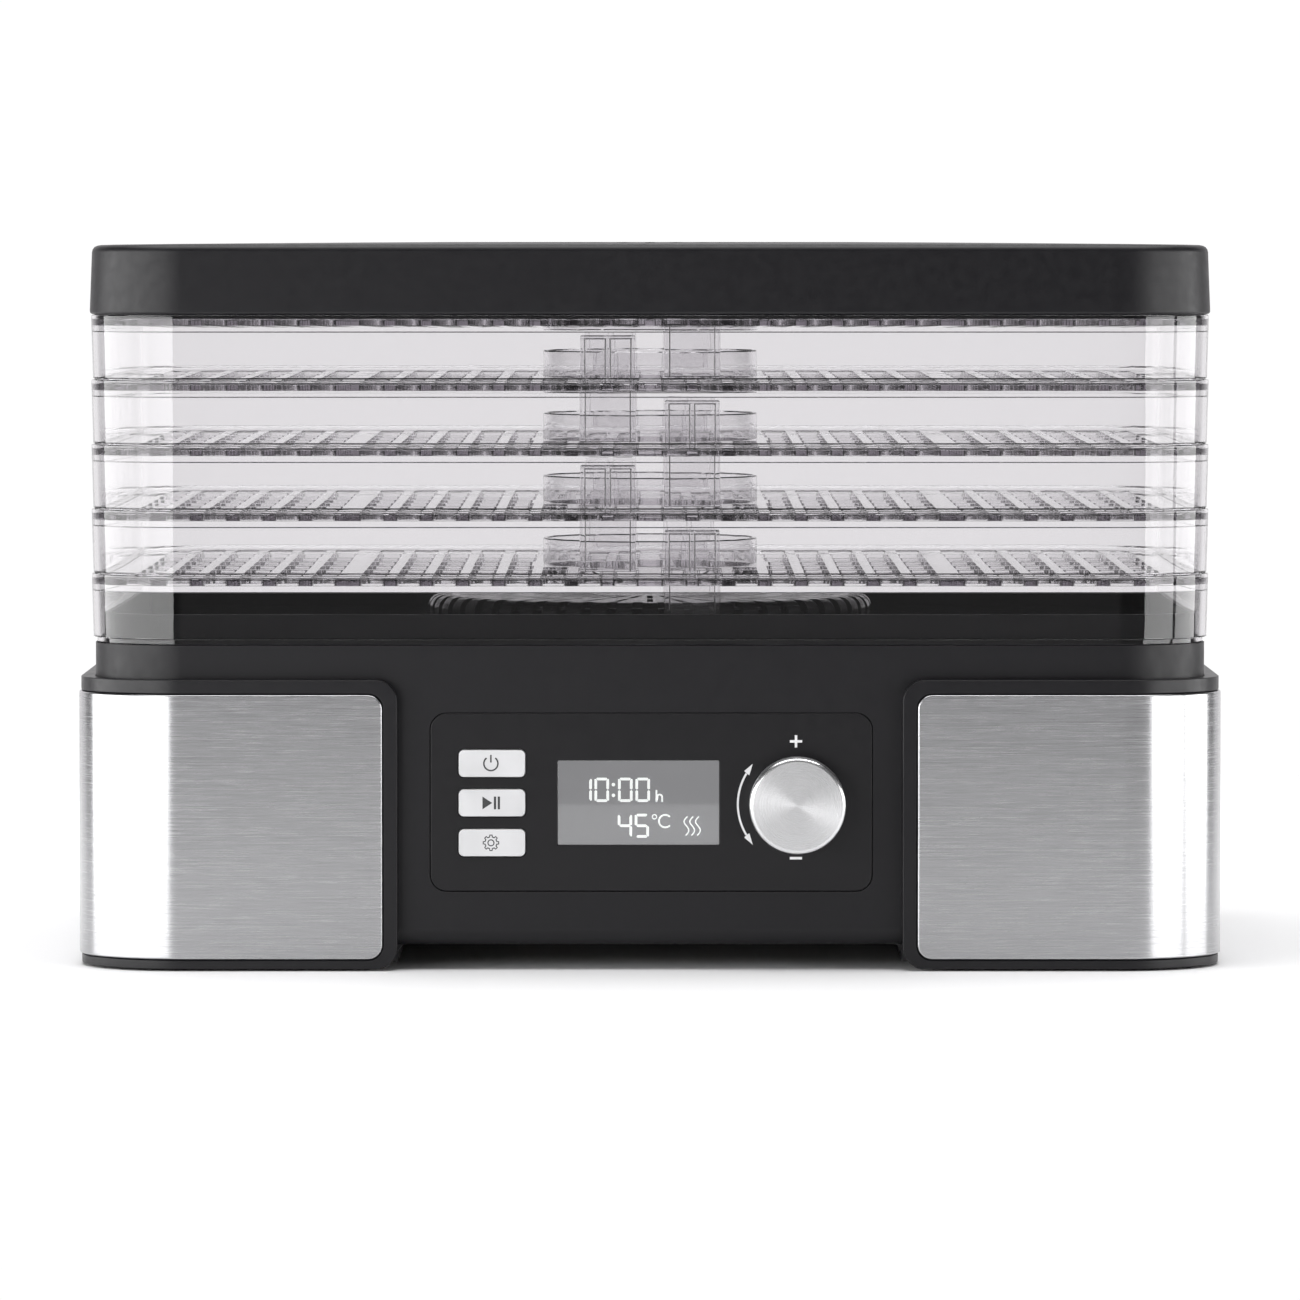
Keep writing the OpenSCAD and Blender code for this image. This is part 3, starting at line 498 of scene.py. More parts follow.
def tray_slots():
    """Outlines of the slots in a tray's floor, about its middle."""
    outlines = []
    for x0 in SLOT_STARTS:
        limit = slot_limit(x0 + SLOT_W)
        for row in range(-3, 4):
            if row == 0 and x0 + SLOT_W < COLLAR_OUT:
                continue
            y0 = max(row * ROW_PITCH - SLOT_LEN / 2, -limit)
            y1 = min(row * ROW_PITCH + SLOT_LEN / 2, limit)
            # beside the collar the floor stays whole
            if abs(row) == 1 and x0 < LAND_R:
                edge = sqrt(LAND_R ** 2 - x0 ** 2) + 1
                y0, y1 = (max(y0, edge), y1) if row == 1 else (y0, min(y1, -edge))
            near = max(x0, LAND_R + 0.5) if row == 0 else x0
            if y1 - y0 < SLOT_MIN:
                continue
            outlines.append(slot_outline(near, y0, x0 + SLOT_W, y1))
            outlines.append(slot_outline(-x0 - SLOT_W, y0, -near, y1))
    return outlines


def near_post(outline):
    """True for a slot whose end would cut into the foot of a stacking post."""
    xs = [p[0] for p in outline]
    ys = [abs(p[1]) for p in outline]
    return max(ys) > POST_Y - 6 and max(xs) > POST_X - 12 and min(xs) < POST_X + 12


def tray_wall():
    """The wall, from the foot of its skirt up its outside, over the rim and down its inside."""
    profile = [(4.1, 0), (2.5, 0), (2.2, 0.3), (2.2, 1.9), (1.8, 1.9)]
    profile += [(1.2, 1.94), (0.85, 2.08), (0.7, 2.3)]
    profile += [(0.0, TRAY_TOP - 0.6), (0.15, TRAY_TOP - 0.15), (0.5, TRAY_TOP), (1.1, TRAY_TOP)]
    profile += [(1.3, TRAY_TOP - 0.2), (1.3, LEDGE + 0.2), (1.5, LEDGE)]
    profile += [(LEDGE_IN - 0.2, LEDGE), (LEDGE_IN, LEDGE + 0.2)]
    profile += [(LEDGE_IN, FLOOR_TOP - 0.2), (LEDGE_IN + 0.2, FLOOR_TOP)]
    profile += [(FLANGE, FLOOR_TOP), (FLANGE, FLOOR_LOW)]
    profile += [(3.4, FLOOR_LOW), (3.4, FLOOR_LOW - 2.2), (2.7, FLOOR_LOW - 2.6), (3.27, 2.6)]
    profile += [(4.4, 2.0), (4.4, 0.3)]
    return sweep("tray_wall", TRAY_HALF_W, TRAY_HALF_D, TRAY_R, profile)


def tray_floor():
    """The slotted floor, with a hole for the collar. Slots that meet a post end before it."""
    outline = rounded(TRAY_HALF_W - FLANGE + 1, TRAY_HALF_D - FLANGE + 1, TRAY_R - FLANGE + 1)
    hole = arc(0, 0, (COLLAR_IN + COLLAR_OUT) / 2, 0, 360 * (FINE - 1) / FINE, FINE - 1)
    slots = [s for s in tray_slots() if not near_post(s)]
    for s in [s for s in tray_slots() if near_post(s)]:
        xs, ys = [p[0] for p in s], [p[1] for p in s]
        end = POST_Y - 8
        if min(ys) > 0:
            slots.append(slot_outline(min(xs), min(ys), max(xs), end))
        else:
            slots.append(slot_outline(min(xs), -end, max(xs), max(ys)))
    floor = plate("tray_floor", [outline, hole] + slots, FLOOR_LOW + 0.05, FLOOR_TOP - 0.05, 0.2, 1)
    floor.data.transform(Matrix.Translation((0, MID_Y * MM, 0)))
    return floor


def tray_collar():
    """The ring round the air hole."""
    profile = [(COLLAR_IN, COLLAR_FOOT + 0.2), (COLLAR_IN + 0.3, COLLAR_FOOT)]
    profile += [(COLLAR_OUT - 0.3, COLLAR_FOOT), (COLLAR_OUT, COLLAR_FOOT + 0.3)]
    profile += [(COLLAR_OUT, COLLAR_TOP - 0.5), (COLLAR_OUT - 0.5, COLLAR_TOP)]
    profile += [(COLLAR_IN + 0.5, COLLAR_TOP), (COLLAR_IN, COLLAR_TOP - 0.5)]
    return revolve("tray_collar", profile, (0, MID_Y, 0))


def softened(outline, r=0.5):
    """An outline with each of its corners cut by a short arc."""
    result = []
    n = len(outline)
    for i in range(n):
        p, q, w = Vector(outline[i - 1]), Vector(outline[i]), Vector(outline[(i + 1) % n])
        a, b = (p - q).normalized(), (w - q).normalized()
        reach = min(r, (p - q).length / 2.2, (w - q).length / 2.2)
        for t in (0.0, 0.3, 0.7, 1.0):
            blend = a * reach * (1 - t) ** 2 + b * reach * t ** 2
            result.append(tuple(q + blend))
    return result


def channel(name, outline, low, high, side):
    """An upright channel, open towards the middle, on one side of the tray."""
    piece = plate(name, [outline], low, high, 0.5, 2)
    turn = Matrix.Scale(-side, 4, (0, 1, 0))
    piece.data.transform(Matrix.Translation((POST_X * MM, (MID_Y + side * POST_Y) * MM, 0)) @ turn)
    if side > 0:
        piece.data.flip_normals()
    return piece


def tray_posts():
    """Two stacking posts: a comb with a cap above the floor, and a channel below for the next tray's post."""
    comb = [(-10.7, -5), (10.7, -5), (10.7, 5), (9, 5), (9, -3.3), (1, -3.3), (1, 5), (-1, 5),
            (-1, -3.3), (-9, -3.3), (-9, 5), (-10.7, 5)]
    under = [(-11, -5), (11, -5), (11, 5), (8.8, 5), (8.8, -3.3), (-8.8, -3.3), (-8.8, 5), (-11, 5)]
    cap = [(-10.7, -5), (10.7, -5), (10.7, 5), (-10.7, 5)]
    parts = []
    for side in (-1, 1):
        parts.append(channel("post_comb", softened(comb), FLOOR_TOP - 1.5, POST_TOP - 0.7, side))
        parts.append(channel("post_under", softened(under), 3, FLOOR_LOW + 1.5, side))
        parts.append(channel("post_cap", softened(cap), POST_TOP - 1.6, POST_TOP, side))
    return parts


def make_tray():
    """One tray, with the foot of its skirt at height 0."""
    tray = tray_wall()
    combine(tray, tray_floor())
    combine(tray, tray_collar())
    for post in tray_posts():
        combine(tray, post)
    return tray


def add_trays(mat):
    """Five copies of one tray, every second one turned half a turn."""
    master = make_tray()
    turn = (Matrix.Translation((0, MID_Y * MM, 0)) @ Matrix.Rotation(pi, 4, "Z")
            @ Matrix.Translation((0, -MID_Y * MM, 0)))
    for k in range(1, 6):
        node = f"tray_{k}"
        mesh = master.data.copy()
        if k % 2 == 0:
            mesh.transform(turn)
        mesh.transform(Matrix.Translation((0, 0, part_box(node)[0].z)))
        tray = finish_mesh(f"clear_tray_{k}", mesh, TRAY_SMOOTH)
        add(tray, node, "clear_plastic", mat, node)
    bpy.data.objects.remove(master)


# ---------------------------------------------------------------- lid

LID_FOOT = 1.5                             # how far its inner rib reaches into the top tray
LID_DROP = 1.3                             # how much lower its top is at the sides than in the middle
VENT_RINGS = ((30, 18, 24), (54, 18, 36))  # inner radius, length and number of the slots in each ring


def lid_profile():
    """Outside and inside of the lid as (inset, height), from its edge to near its middle."""
    outer = [(2.3, 0), (1.4, 0), (0.5, 0.25), (0.1, 0.7), (0, 1.4), (0.9, 25.2), (1.2, 26.5)]
    outer += [(1.9, 27.5), (3.0, 28.1), (4.6, 28.4), (10, 28.5), (30, 28.5), (60, 28.5), (100, 28.5)]
    outer += [(140, 28.5)]
    inner = [(140, 25.9), (100, 25.9), (60, 25.9), (30, 25.9), (10, 25.9), (5, 25.6), (3.4, 24.6)]
    inner += [(2.8, 23), (2.8, 4), (4.8, 2.8), (4.8, -1.2), (4.5, -1.5), (2.6, -1.5), (2.3, -1.2)]
    return outer, inner


def add_lid(mat):
    """The lid's shell, with rings of ventilation slots."""
    outer, inner = lid_profile()
    half_w, half_d = (LID_HIGH.x - LID_LOW.x) / 2, (LID_HIGH.y - LID_LOW.y) / 2
    base_z = LID_LOW.z + LID_FOOT
    rings = []
    for inset, z in outer + inner:
        r = max(TRAY_R + 0.5 - inset, 0.5)
        ring = []
        for x, y in rounded(half_w - inset, half_d - inset, r):
            drop = LID_DROP * (x / half_w) ** 2 * max(0.0, (z - 18) / 10.5)
            ring.append((x, MID_Y + y, base_z + z - drop))
        rings.append(ring)
    points, faces = bridge(rings)
    n = len(rings[0])
    seam_outer, seam_inner = len(outer) - 1, len(outer)
    gone = {tuple(f) for f in faces if min(f) // n == seam_outer and max(f) // n == seam_inner}
    faces = [f for f in faces if tuple(f) not in gone]
    faces.append(tuple(range(seam_outer * n, (seam_outer + 1) * n)))
    faces.append(tuple(range(seam_inner * n, (seam_inner + 1) * n)))
    lid = mesh_object("lid_shell", points, faces)
    slots = []
    for start, length, count in VENT_RINGS:
        for i in range(count):
            slot = plate("vent", [slot_outline(start, -2, start + length, 2, 1.9, 6)],
                         base_z + 20, base_z + 32, 0.01, 0)
            slot.data.transform(Matrix.Rotation(2 * pi * i / count, 4, "Z"))
            slot.data.transform(Matrix.Translation((0, MID_Y * MM, 0)))
            slots.append(slot)
    combine(lid, join("vents", slots), "DIFFERENCE")
    tidy_mesh(lid)
    add(lid, "lid", "black_plastic", mat, "lid")


# ---------------------------------------------------------------- control panel

def front_plate(name, outlines, y_front, y_back, bevel, steps=3):
    """A plate that faces the front, drawn in X and Z."""
    return plate(name, outlines, y_front, y_back, bevel, steps, facing="front")


def rounded_at(cx, cz, half_w, half_h, r, steps):
    """Outline of a rounded rectangle about cx, cz."""
    return [(cx + x, cz + z) for x, z in rounded(half_w, half_h, r, steps)]


def circle_at(cx, cz, r, steps=ROUND):
    """Outline of a circle about cx, cz."""
    return arc(cx, cz, r, 0, 360 * (steps - 1) / steps, steps - 1)


def round_box(low, high, margin, r, steps):
    """Outline of a rounded rectangle in X and Z, larger than a box by a margin on each side."""
    return rounded_at((low.x + high.x) / 2, (low.z + high.z) / 2,
                      (high.x - low.x) / 2 + margin, (high.z - low.z) / 2 + margin, r, steps)


KEY_FLANGE = 1.2           # how far a key's hidden flange reaches past its face
SPINDLE_HOLE_R = 3.7
FASCIA_T = 2.2


def add_fascia(mat):
    """The panel, with openings for the keys, the window and the dial's spindle."""
    low, high = FASCIA_LOW, FASCIA_HIGH
    holes = []
    for key in ("power", "start", "settings"):
        holes.append(round_box(*box_mm(f"{key}_button"), -KEY_FLANGE, 2.3, 6))
    holes.append(round_box(WINDOW_LOW, WINDOW_HIGH, 0.1, 0.6, 3))
    holes.append(circle_at(KNOB_X, KNOB_Z, SPINDLE_HOLE_R))
    outline = round_box(low, high, 0, 6.3, 12)
    fascia = front_plate("fascia_panel", [outline] + holes, low.y, low.y + FASCIA_T, 0.35)
    add(fascia, "base", "panel_plastic", mat, "control_fascia")


def band(line, width, closed=False):
    """Outline, or two outlines, of a stroke of even width along a line of points."""
    n = len(line)
    left, right = [], []
    for i, (x, z) in enumerate(line):
        if closed:
            a, b = line[i - 1], line[(i + 1) % n]
        else:
            a, b = line[max(i - 1, 0)], line[min(i + 1, n - 1)]
        dx, dz = b[0] - a[0], b[1] - a[1]
        length = hypot(dx, dz)
        ox, oz = -dz / length * width / 2, dx / length * width / 2
        left.append((x + ox, z + oz))
        right.append((x - ox, z - oz))
    if closed:
        return [left, right]
    return [left + right[::-1]]


def rect_at(cx, cz, w, h):
    """Outline of a rectangle about cx, cz."""
    left, right, low, high = cx - w / 2, cx + w / 2, cz - h / 2, cz + h / 2
    return [(left, low), (right, low), (right, high), (left, high)]


def power_icon(cx, cz):
    """An open ring with an upright stroke."""
    return band(arc(cx, cz, 2.75, 128, 412, 28), 0.62) + [rect_at(cx, cz + 1.9, 0.62, 3.0)]


def start_icon(cx, cz):
    """A triangle and two upright bars."""
    triangle = [(cx - 3.3, cz - 2.5), (cx + 0.5, cz), (cx - 3.3, cz + 2.5)]
    return [triangle, rect_at(cx + 1.6, cz, 0.9, 5.0), rect_at(cx + 3.1, cz, 0.9, 5.0)]


def settings_icon(cx, cz):
    """A gear drawn as a line, with a ring in its middle."""
    teeth = 8
    line = []
    for i in range(teeth):
        for offset, r in ((-12.5, 2.35), (-8.5, 3.05), (8.5, 3.05), (12.5, 2.35)):
            a = radians(360 * i / teeth + offset)
            line.append((cx + r * cos(a), cz + r * sin(a)))
    return band(line, 0.5, closed=True) + [circle_at(cx, cz, 1.4, 24), circle_at(cx, cz, 0.95, 24)]


def add_icons(mat):
    """The icons printed on the keys."""
    for key, icon in (("power", power_icon), ("start", start_icon), ("settings", settings_icon)):
        low, high = box_mm(f"{key}_button")
        cx, cz = (low.x + high.x) / 2 - 0.4, (low.z + high.z) / 2
        piece = front_plate(f"{key}_icon", icon(cx, cz), low.y - 0.02, low.y + 0.3, 0.02, 0)
        add(piece, f"{key}_key", None, mat)


def digit(x, z, lit, w=5.7, h=9.5, t=1.05):
    """Segments of a seven-segment figure whose lower left corner is at x, z. Strokes are t wide."""
    gap, m = 0.12, h / 2
    across = [(t * 0.55 + gap, t / 2), (t * 0.9, 0), (w - t * 0.9, 0), (w - t * 0.55 - gap, t / 2),
              (w - t * 1.1, t), (t * 1.1, t)]
    upright = [(0, t * 0.5 + gap), (t * 0.5, t * 0.3 + gap), (t, t * 1.15), (t, m - t * 0.45),
               (t * 0.5, m - gap), (0, m - t * 0.45)]
    middle = [(t * 0.6, m), (t * 1.1, m - t / 2), (w - t * 1.1, m - t / 2), (w - t * 0.6, m),
              (w - t * 1.1, m + t / 2), (t * 1.1, m + t / 2)]
    shapes = {
        "d": across,
        "a": [(px, h - pz) for px, pz in across],
        "g": middle,
        "e": upright,
        "f": [(px, h - pz) for px, pz in upright],
        "c": [(w - px, pz) for px, pz in upright],
        "b": [(w - px, h - pz) for px, pz in upright],
    }
    return [[(x + px, z + pz) for px, pz in shapes[segment]] for segment in lit]


TIME_Z, DEGREES_Z = 65.8, 51.8             # foot of each row of figures
ZERO, ONE, FOUR, FIVE = "abcdef", "bc", "bcfg", "acdfg"


def display_figures():
    """A time with its unit, a temperature with its unit, and three waves for the heat."""
    outlines = []
    for x, lit in ((-28.4, ONE), (-21.7, ZERO), (-12.5, ZERO), (-5.7, ZERO)):
        outlines += digit(x, TIME_Z, lit)
    outlines += [circle_at(-14.3, 72.6, 0.7, 16), circle_at(-14.3, 68.4, 0.7, 16)]
    outlines += band([(2.5, TIME_Z), (2.5, 70.5)], 0.65)
    outlines += band([(2.9, 67.9)] + arc(3.75, 67.7, 1.0, 140, 0, 8) + [(4.75, TIME_Z)], 0.65)
    outlines += digit(-12.6, DEGREES_Z, FOUR, 5.6, 9.4) + digit(-6.0, DEGREES_Z, FIVE, 5.6, 9.4)
    outlines += band(circle_at(1.75, 60.0, 0.85, 24), 0.42, closed=True)
    outlines += band(arc(5.95, 58.3, 2.45, 42, 318, 30), 0.68)
    for i in range(3):
        x = 14.5 + 2.25 * i
        line = [(x + 0.15 - 1.15 * sin(pi * t / 12) * (1 if t < 12 else 0.9) - 0.03 * t,
                 60.1 - 7.4 * t / 24) for t in range(25)]
        outlines += band(line, 0.5)
    return outlines


def add_display(face_mat, figure_mat):
    """The liquid crystal panel behind the window, with its figures."""
    outline = round_box(WINDOW_LOW, WINDOW_HIGH, -0.1, 0.4, 3)
    y = box_mm("display_module")[0].y
    face = front_plate("display_face", [outline], y - 0.45, y - 0.02, 0.02, 0)
    add(face, "base", None, face_mat)
    figures = front_plate("display_figures", display_figures(), y - 0.6, y - 0.46, 0.01, 0)
    add(figures, "base", None, figure_mat)


MARK_R = 23.2              # radius of the bent arrow
PLUS_Z, MINUS_Z = 89.6, 43.9


def add_dial_marks(mat):
    """A plus, a minus and a bent arrow with two heads, printed round the dial."""
    r = MARK_R
    cx, cz = KNOB_X, KNOB_Z
    outlines = band(arc(cx, cz, r, 148.9, 211.1, 40), 0.8)
    for side in (-1, 1):
        def at(radius, degrees):
            a = radians(180 - side * degrees)
            return (cx + radius * cos(a), cz + radius * sin(a))
        outlines.append([at(r + 0.3, 42.3), at(r - 1.35, 31.2), at(r, 31.3), at(r + 1.25, 32.2)])
    plus_x = cx - 0.5
    outlines += [[(plus_x + x, PLUS_Z + z) for x, z in
                  ((-2.4, -0.5), (-0.5, -0.5), (-0.5, -2.4), (0.5, -2.4), (0.5, -0.5), (2.4, -0.5),
                   (2.4, 0.5), (0.5, 0.5), (0.5, 2.4), (-0.5, 2.4), (-0.5, 0.5), (-2.4, 0.5))]]
    outlines.append(rect_at(plus_x, MINUS_Z, 4.8, 1.0))
    marks = front_plate("dial_marks", outlines, FASCIA_LOW.y - 0.02, FASCIA_LOW.y + 0.3, 0.02, 0)
    add(marks, "base", None, mat)


def add_knob(mat):
    """The dial's cap: a turned drum with a rounded front edge and a bore behind for the spindle."""
    length = KNOB_HIGH.y - KNOB_LOW.y
    r = KNOB_R
    profile = [(0, length), (r - 1.5, length), (r - 1.0, length - 0.06), (r - 0.45, length - 0.35),
               (r - 0.12, length - 0.8), (r, length - 1.4), (r, 1.2), (r - 0.2, 0.5), (r - 0.8, 0),
               (8.5, 0), (8.5, 4.5), (3.02, 4.5), (3.02, 10), (0, 10)]
    knob = revolve("dial_cap", profile, (KNOB_X, KNOB_HIGH.y, KNOB_Z), axis="Y", steps=128)
    add(knob, "dial", "knob_metal", mat, "knob")


# ---------------------------------------------------------------- build

BLACK = textured_plastic("black_textured_plastic", (0.0034, 0.0030, 0.0044), 0.44)
FRAME = textured_plastic("frame_plastic", (0.0046, 0.0042, 0.0056), 0.36, 1800, 0.00002, 0.2)
PANEL = textured_plastic("panel_plastic", (0.0046, 0.0042, 0.0053), 0.36, 1800, 0.00001, 0.15)
DECK = smooth_plastic("gloss_black_deck", (0.006, 0.0065, 0.0075), 0.06, coat_weight=0.5)
GRILLE = smooth_plastic("grille_plastic", (0.02, 0.02, 0.021), 0.22)
CLEAR = clear_plastic()
STEEL = brushed_steel()

add_trays(CLEAR)
add_lid(BLACK)
dress(BLACK, "base_housing", bevel=0.8, segments=3)
dress(BLACK, "bottom_plate", bevel=0.3)
dress(FRAME, "left_side_frame", "right_side_frame", bevel=1.2, segments=3)
dress(STEEL, "left_steel_panel", "right_steel_panel", bevel=0.7, segments=3)
dress(DECK, "deck_plate", bevel=0.3)
dress(GRILLE, "outlet_grille", bevel=0.25, segments=1)
add_fascia(PANEL)

KEY = smooth_plastic("key_plastic", (0.6, 0.6, 0.61), 0.4)
SPUN = spun_aluminium()
dress(KEY, "power_button", "start_button", "settings_button", bevel=0.5, segments=3)
dress(KEY, "power_plunger", "start_plunger", "settings_plunger", bevel=0.2)
add_knob(SPUN)
INK = smooth_plastic("icon_ink", (0.035, 0.035, 0.037), 0.5)
PRINT = smooth_plastic("printed_marks", (0.72, 0.72, 0.73), 0.5)
FACE, _, _ = material("display_face", (0.05, 0.05, 0.05), 0, 0.5,
                      emission_color=(0.235, 0.228, 0.24, 1), emission_strength=1.0)
FIGURES, _, _ = material("display_figures", (0.4, 0.4, 0.4), 0, 0.5,
                         emission_color=(0.95, 0.95, 0.95, 1), emission_strength=1.0)
add_icons(INK)
add_display(FACE, FIGURES)
add_dial_marks(PRINT)
LENS, _, _ = material("display_lens", (0.92, 0.94, 0.93), 0, 0.02, ior=1.49, transmission_weight=1.0)
dress(LENS, "display_window", bevel=0.1)

OTHERS = {
    "display_module": smooth_plastic("display_case", (0.16, 0.16, 0.165), 0.4),
    "control_board": mottled("board_green", (0.02, 0.09, 0.04), (0.03, 0.13, 0.06), 0.35),
    "power_board": mottled("board_green_2", (0.02, 0.09, 0.04), (0.03, 0.13, 0.06), 0.35),
    "tact_switches": smooth_plastic("switch_black", (0.03, 0.03, 0.03), 0.4),
    "encoder_shaft": metal("turned_steel", (0.6, 0.6, 0.61), 0.25),
    "encoder_body": metal("encoder_steel", (0.55, 0.55, 0.56), 0.35),
    "encoder_nut": metal("nut_steel", (0.6, 0.6, 0.6), 0.3),
    "fan_impeller": metal("fan_aluminium", (0.65, 0.66, 0.67), 0.35),
    "motor_shaft": metal("shaft_steel", (0.6, 0.6, 0.61), 0.2),
    "motor_rotor": metal("rotor_aluminium", (0.6, 0.6, 0.61), 0.4),
    "motor_stator": striped("stator_sheet", (0.12, 0.12, 0.125), (0.3, 0.3, 0.31), 0.45, 0.5, 0.8),
    "motor_coil": striped("copper_winding", (0.3, 0.1, 0.03), (0.65, 0.28, 0.1), 0.35, 0.6, 0.6),
    "motor_bracket_upper": metal("bracket_upper_alloy", (0.55, 0.55, 0.56), 0.45),
    "motor_bracket_lower": metal("bracket_lower_alloy", (0.55, 0.55, 0.56), 0.45),
    "motor_bearings": metal("bearing_bronze", (0.55, 0.38, 0.2), 0.35),
    "motor_mount": metal("mount_steel", (0.5, 0.5, 0.51), 0.45),
    "air_duct": metal("duct_steel", (0.55, 0.55, 0.56), 0.4),
    "heater_frame": mottled("mica_board", (0.3, 0.25, 0.16), (0.5, 0.44, 0.32), 0.5),
    "heater_coil": metal("heater_wire", (0.35, 0.33, 0.32), 0.45),
    "thermal_cutout": smooth_plastic("cutout_case", (0.05, 0.05, 0.05), 0.35),
    "temperature_sensor": metal("sensor_steel", (0.55, 0.55, 0.56), 0.35),
    "power_relay": smooth_plastic("relay_case", (0.03, 0.035, 0.05), 0.35),
    "power_transformer": striped("transformer_tape", (0.4, 0.28, 0.03), (0.6, 0.45, 0.06), 0.35, 3),
    "filter_capacitor": smooth_plastic("capacitor_sleeve", (0.03, 0.04, 0.12), 0.3),
    "terminal_block": smooth_plastic("terminal_green", (0.05, 0.2, 0.1), 0.4),
    "rubber_feet": textured_plastic("foot_rubber", (0.015, 0.015, 0.015), 0.7),
    "cord_gland": textured_plastic("gland_rubber", (0.015, 0.015, 0.015), 0.65),
    "housing_screws": metal("housing_screw_zinc", (0.5, 0.5, 0.5), 0.35),
    "board_screws": metal("board_screw_zinc", (0.5, 0.5, 0.5), 0.35),
    "panel_screws": metal("panel_screw_zinc", (0.5, 0.5, 0.5), 0.35),
    "motor_screws": metal("motor_screw_zinc", (0.5, 0.5, 0.5), 0.35),
    "duct_screws": metal("duct_screw_zinc", (0.5, 0.5, 0.5), 0.35),
}
for node, mat in OTHERS.items():
    dress(mat, node, bevel=0.15, segments=1)


# ---------------------------------------------------------------- camera, floor and light

CAMERA_AWAY = 3400.0                       # from the steel panels' front
CAMERA_HEIGHT = LID_HIGH.z
LENS_MM = 242.0
FLOOR_R_MM = 1150.0                        # beyond it the backdrop is as white as the floor
AIM_HEIGHT = 125.6                         # where the middle of the view crosses the steel panels' front

camera = bpy.data.objects.new("camera", bpy.data.cameras.new("camera"))
bpy.context.scene.collection.objects.link(camera)
camera.data.lens = LENS_MM
camera.data.sensor_width = 36
camera.data.clip_end = 100
camera.location = Vector((0, STEEL_FRONT - CAMERA_AWAY, CAMERA_HEIGHT)) * MM
tilt = atan((CAMERA_HEIGHT - AIM_HEIGHT) / CAMERA_AWAY)
camera.rotation_euler = (pi / 2 - tilt, 0, 0)
bpy.context.scene.camera = camera


def add_floor():
    """A plain pale disc under the object."""
    mat, tree, shader = material("pale_floor", (0.9, 0.9, 0.905), 0, 0.6)
    shader.inputs["Specular IOR Level"].default_value = 0.1
    tinted(tree, shader, noise(tree, place_coordinates(tree, (1, 1, 1)), 3, 2),
           (0.895, 0.895, 0.9), (0.905, 0.905, 0.91))
    points = [(x, y, 0) for x, y in circle_at(0, 0, FLOOR_R_MM, FINE)]
    floor = mesh_object("floor", points, [tuple(range(len(points)))])
    floor.data.materials.append(mat)


# Lights, in metres. The angles are from straight ahead, in degrees.
LIGHT_AWAY = 2.6
SOFTBOXES = (("left_softbox", -112, -17), ("right_softbox_near", 38, 74), ("right_softbox_far", 78, 112))
SOFTBOX_LOW, SOFTBOX_HIGH, SOFTBOX_RADIANCE = -0.5, 0.7, 5.0
OVERHEAD_SIZE, OVERHEAD_RADIANCE = 3.0, 3.7


def softbox(name, azimuth_from, azimuth_to):
    """A soft panel of light beside the object, between two angles."""
    a, b = radians(azimuth_from), radians(azimuth_to)
    p = Vector((sin(a), -cos(a), 0)) * LIGHT_AWAY
    q = Vector((sin(b), -cos(b), 0)) * LIGHT_AWAY
    middle = (p + q) / 2 + Vector((0, 0, (SOFTBOX_LOW + SOFTBOX_HIGH) / 2))
    data = bpy.data.lights.new(name, "AREA")
    data.shape = "RECTANGLE"
    data.size = (q - p).length
    data.size_y = SOFTBOX_HIGH - SOFTBOX_LOW
    data.energy = SOFTBOX_RADIANCE * pi * data.size * data.size_y
    light = bpy.data.objects.new(name, data)
    bpy.context.scene.collection.objects.link(light)
    light.location = middle
    toward = Vector((0, 0, 0.15)) - middle
    toward.z = 0
    light.rotation_euler = toward.to_track_quat("-Z", "Y").to_euler()
    light.visible_camera = False
    light.visible_transmission = False


def add_light():
    """Softboxes at both sides, and a large one overhead."""
    for name, azimuth_from, azimuth_to in SOFTBOXES:
        softbox(name, azimuth_from, azimuth_to)
    data = bpy.data.lights.new("overhead", "AREA")
    data.shape = "RECTANGLE"
    data.size, data.size_y = OVERHEAD_SIZE, OVERHEAD_SIZE
    data.energy = OVERHEAD_RADIANCE * pi * OVERHEAD_SIZE ** 2
    top = bpy.data.objects.new("overhead", data)
    bpy.context.scene.collection.objects.link(top)
    top.location = (0, 0, LIGHT_AWAY)
    top.visible_camera = False
    top.visible_transmission = False


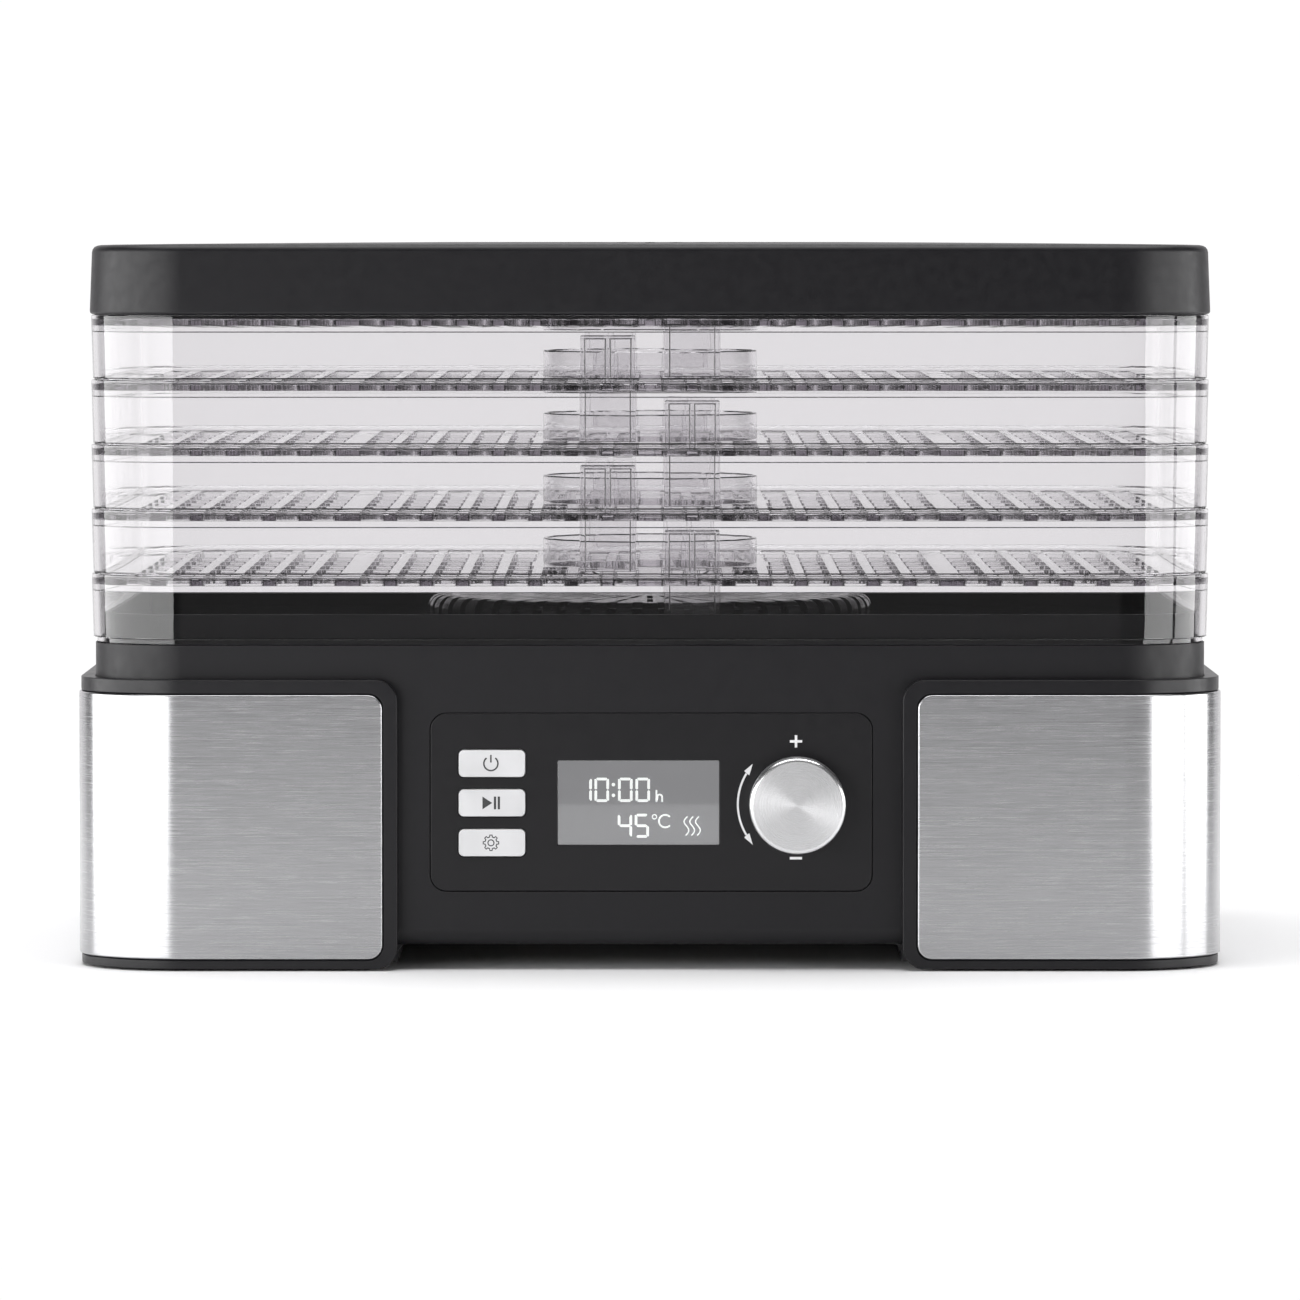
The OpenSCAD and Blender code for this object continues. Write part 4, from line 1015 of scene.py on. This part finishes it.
# How bright the studio is, from straight ahead (-1) to straight behind (1)
STUDIO_STOPS = [(-1.0, 0.2), (-0.996, 0.2), (-0.985, 0.08), (0.22, 0.14), (0.33, 0.05), (0.64, 0.06),
                (0.76, 0.75), (0.9, 0.92), (1.0, 0.93)]
BACKDROP = 1.02                            # what the camera sees past the floor


def add_world():
    """White where it is seen directly. Elsewhere a dim studio, with dark flags beside a white backdrop."""
    world = bpy.data.worlds.new("studio")
    bpy.context.scene.world = world
    world.use_nodes = True
    tree = world.node_tree
    tree.nodes.clear()
    coords = tree.nodes.new("ShaderNodeTexCoord")
    split = tree.nodes.new("ShaderNodeSeparateXYZ")
    tree.links.new(coords.outputs["Generated"], split.inputs[0])
    halved = tree.nodes.new("ShaderNodeMapRange")
    halved.inputs["From Min"].default_value = -1
    tree.links.new(split.outputs["Y"], halved.inputs["Value"])
    ramp = tree.nodes.new("ShaderNodeValToRGB")       # from the front of the studio to its backdrop
    while len(ramp.color_ramp.elements) < len(STUDIO_STOPS):
        ramp.color_ramp.elements.new(0.5)
    for element, (toward_back, level) in zip(ramp.color_ramp.elements, STUDIO_STOPS):
        element.position = (toward_back + 1) / 2
        element.color = (level, level * 0.985, level, 1)
    tree.links.new(halved.outputs[0], ramp.inputs["Fac"])
    studio = tree.nodes.new("ShaderNodeBackground")
    tree.links.new(ramp.outputs["Color"], studio.inputs["Color"])
    white = tree.nodes.new("ShaderNodeBackground")
    white.inputs["Color"].default_value = (1, 1, 1, 1)
    white.inputs["Strength"].default_value = BACKDROP
    path = tree.nodes.new("ShaderNodeLightPath")
    mix = tree.nodes.new("ShaderNodeMixShader")
    tree.links.new(path.outputs["Is Camera Ray"], mix.inputs["Fac"])
    tree.links.new(studio.outputs[0], mix.inputs[1])
    tree.links.new(white.outputs[0], mix.inputs[2])
    out = tree.nodes.new("ShaderNodeOutputWorld")
    tree.links.new(mix.outputs[0], out.inputs["Surface"])


add_floor()
add_light()
add_world()

scene = bpy.context.scene
scene.view_settings.view_transform = "Standard"
scene.cycles.use_denoising = True
scene.cycles.max_bounces = 24
scene.cycles.transmission_bounces = 24
scene.cycles.glossy_bounces = 8
scene.cycles.transparent_max_bounces = 16
scene.cycles.sample_clamp_indirect = 6
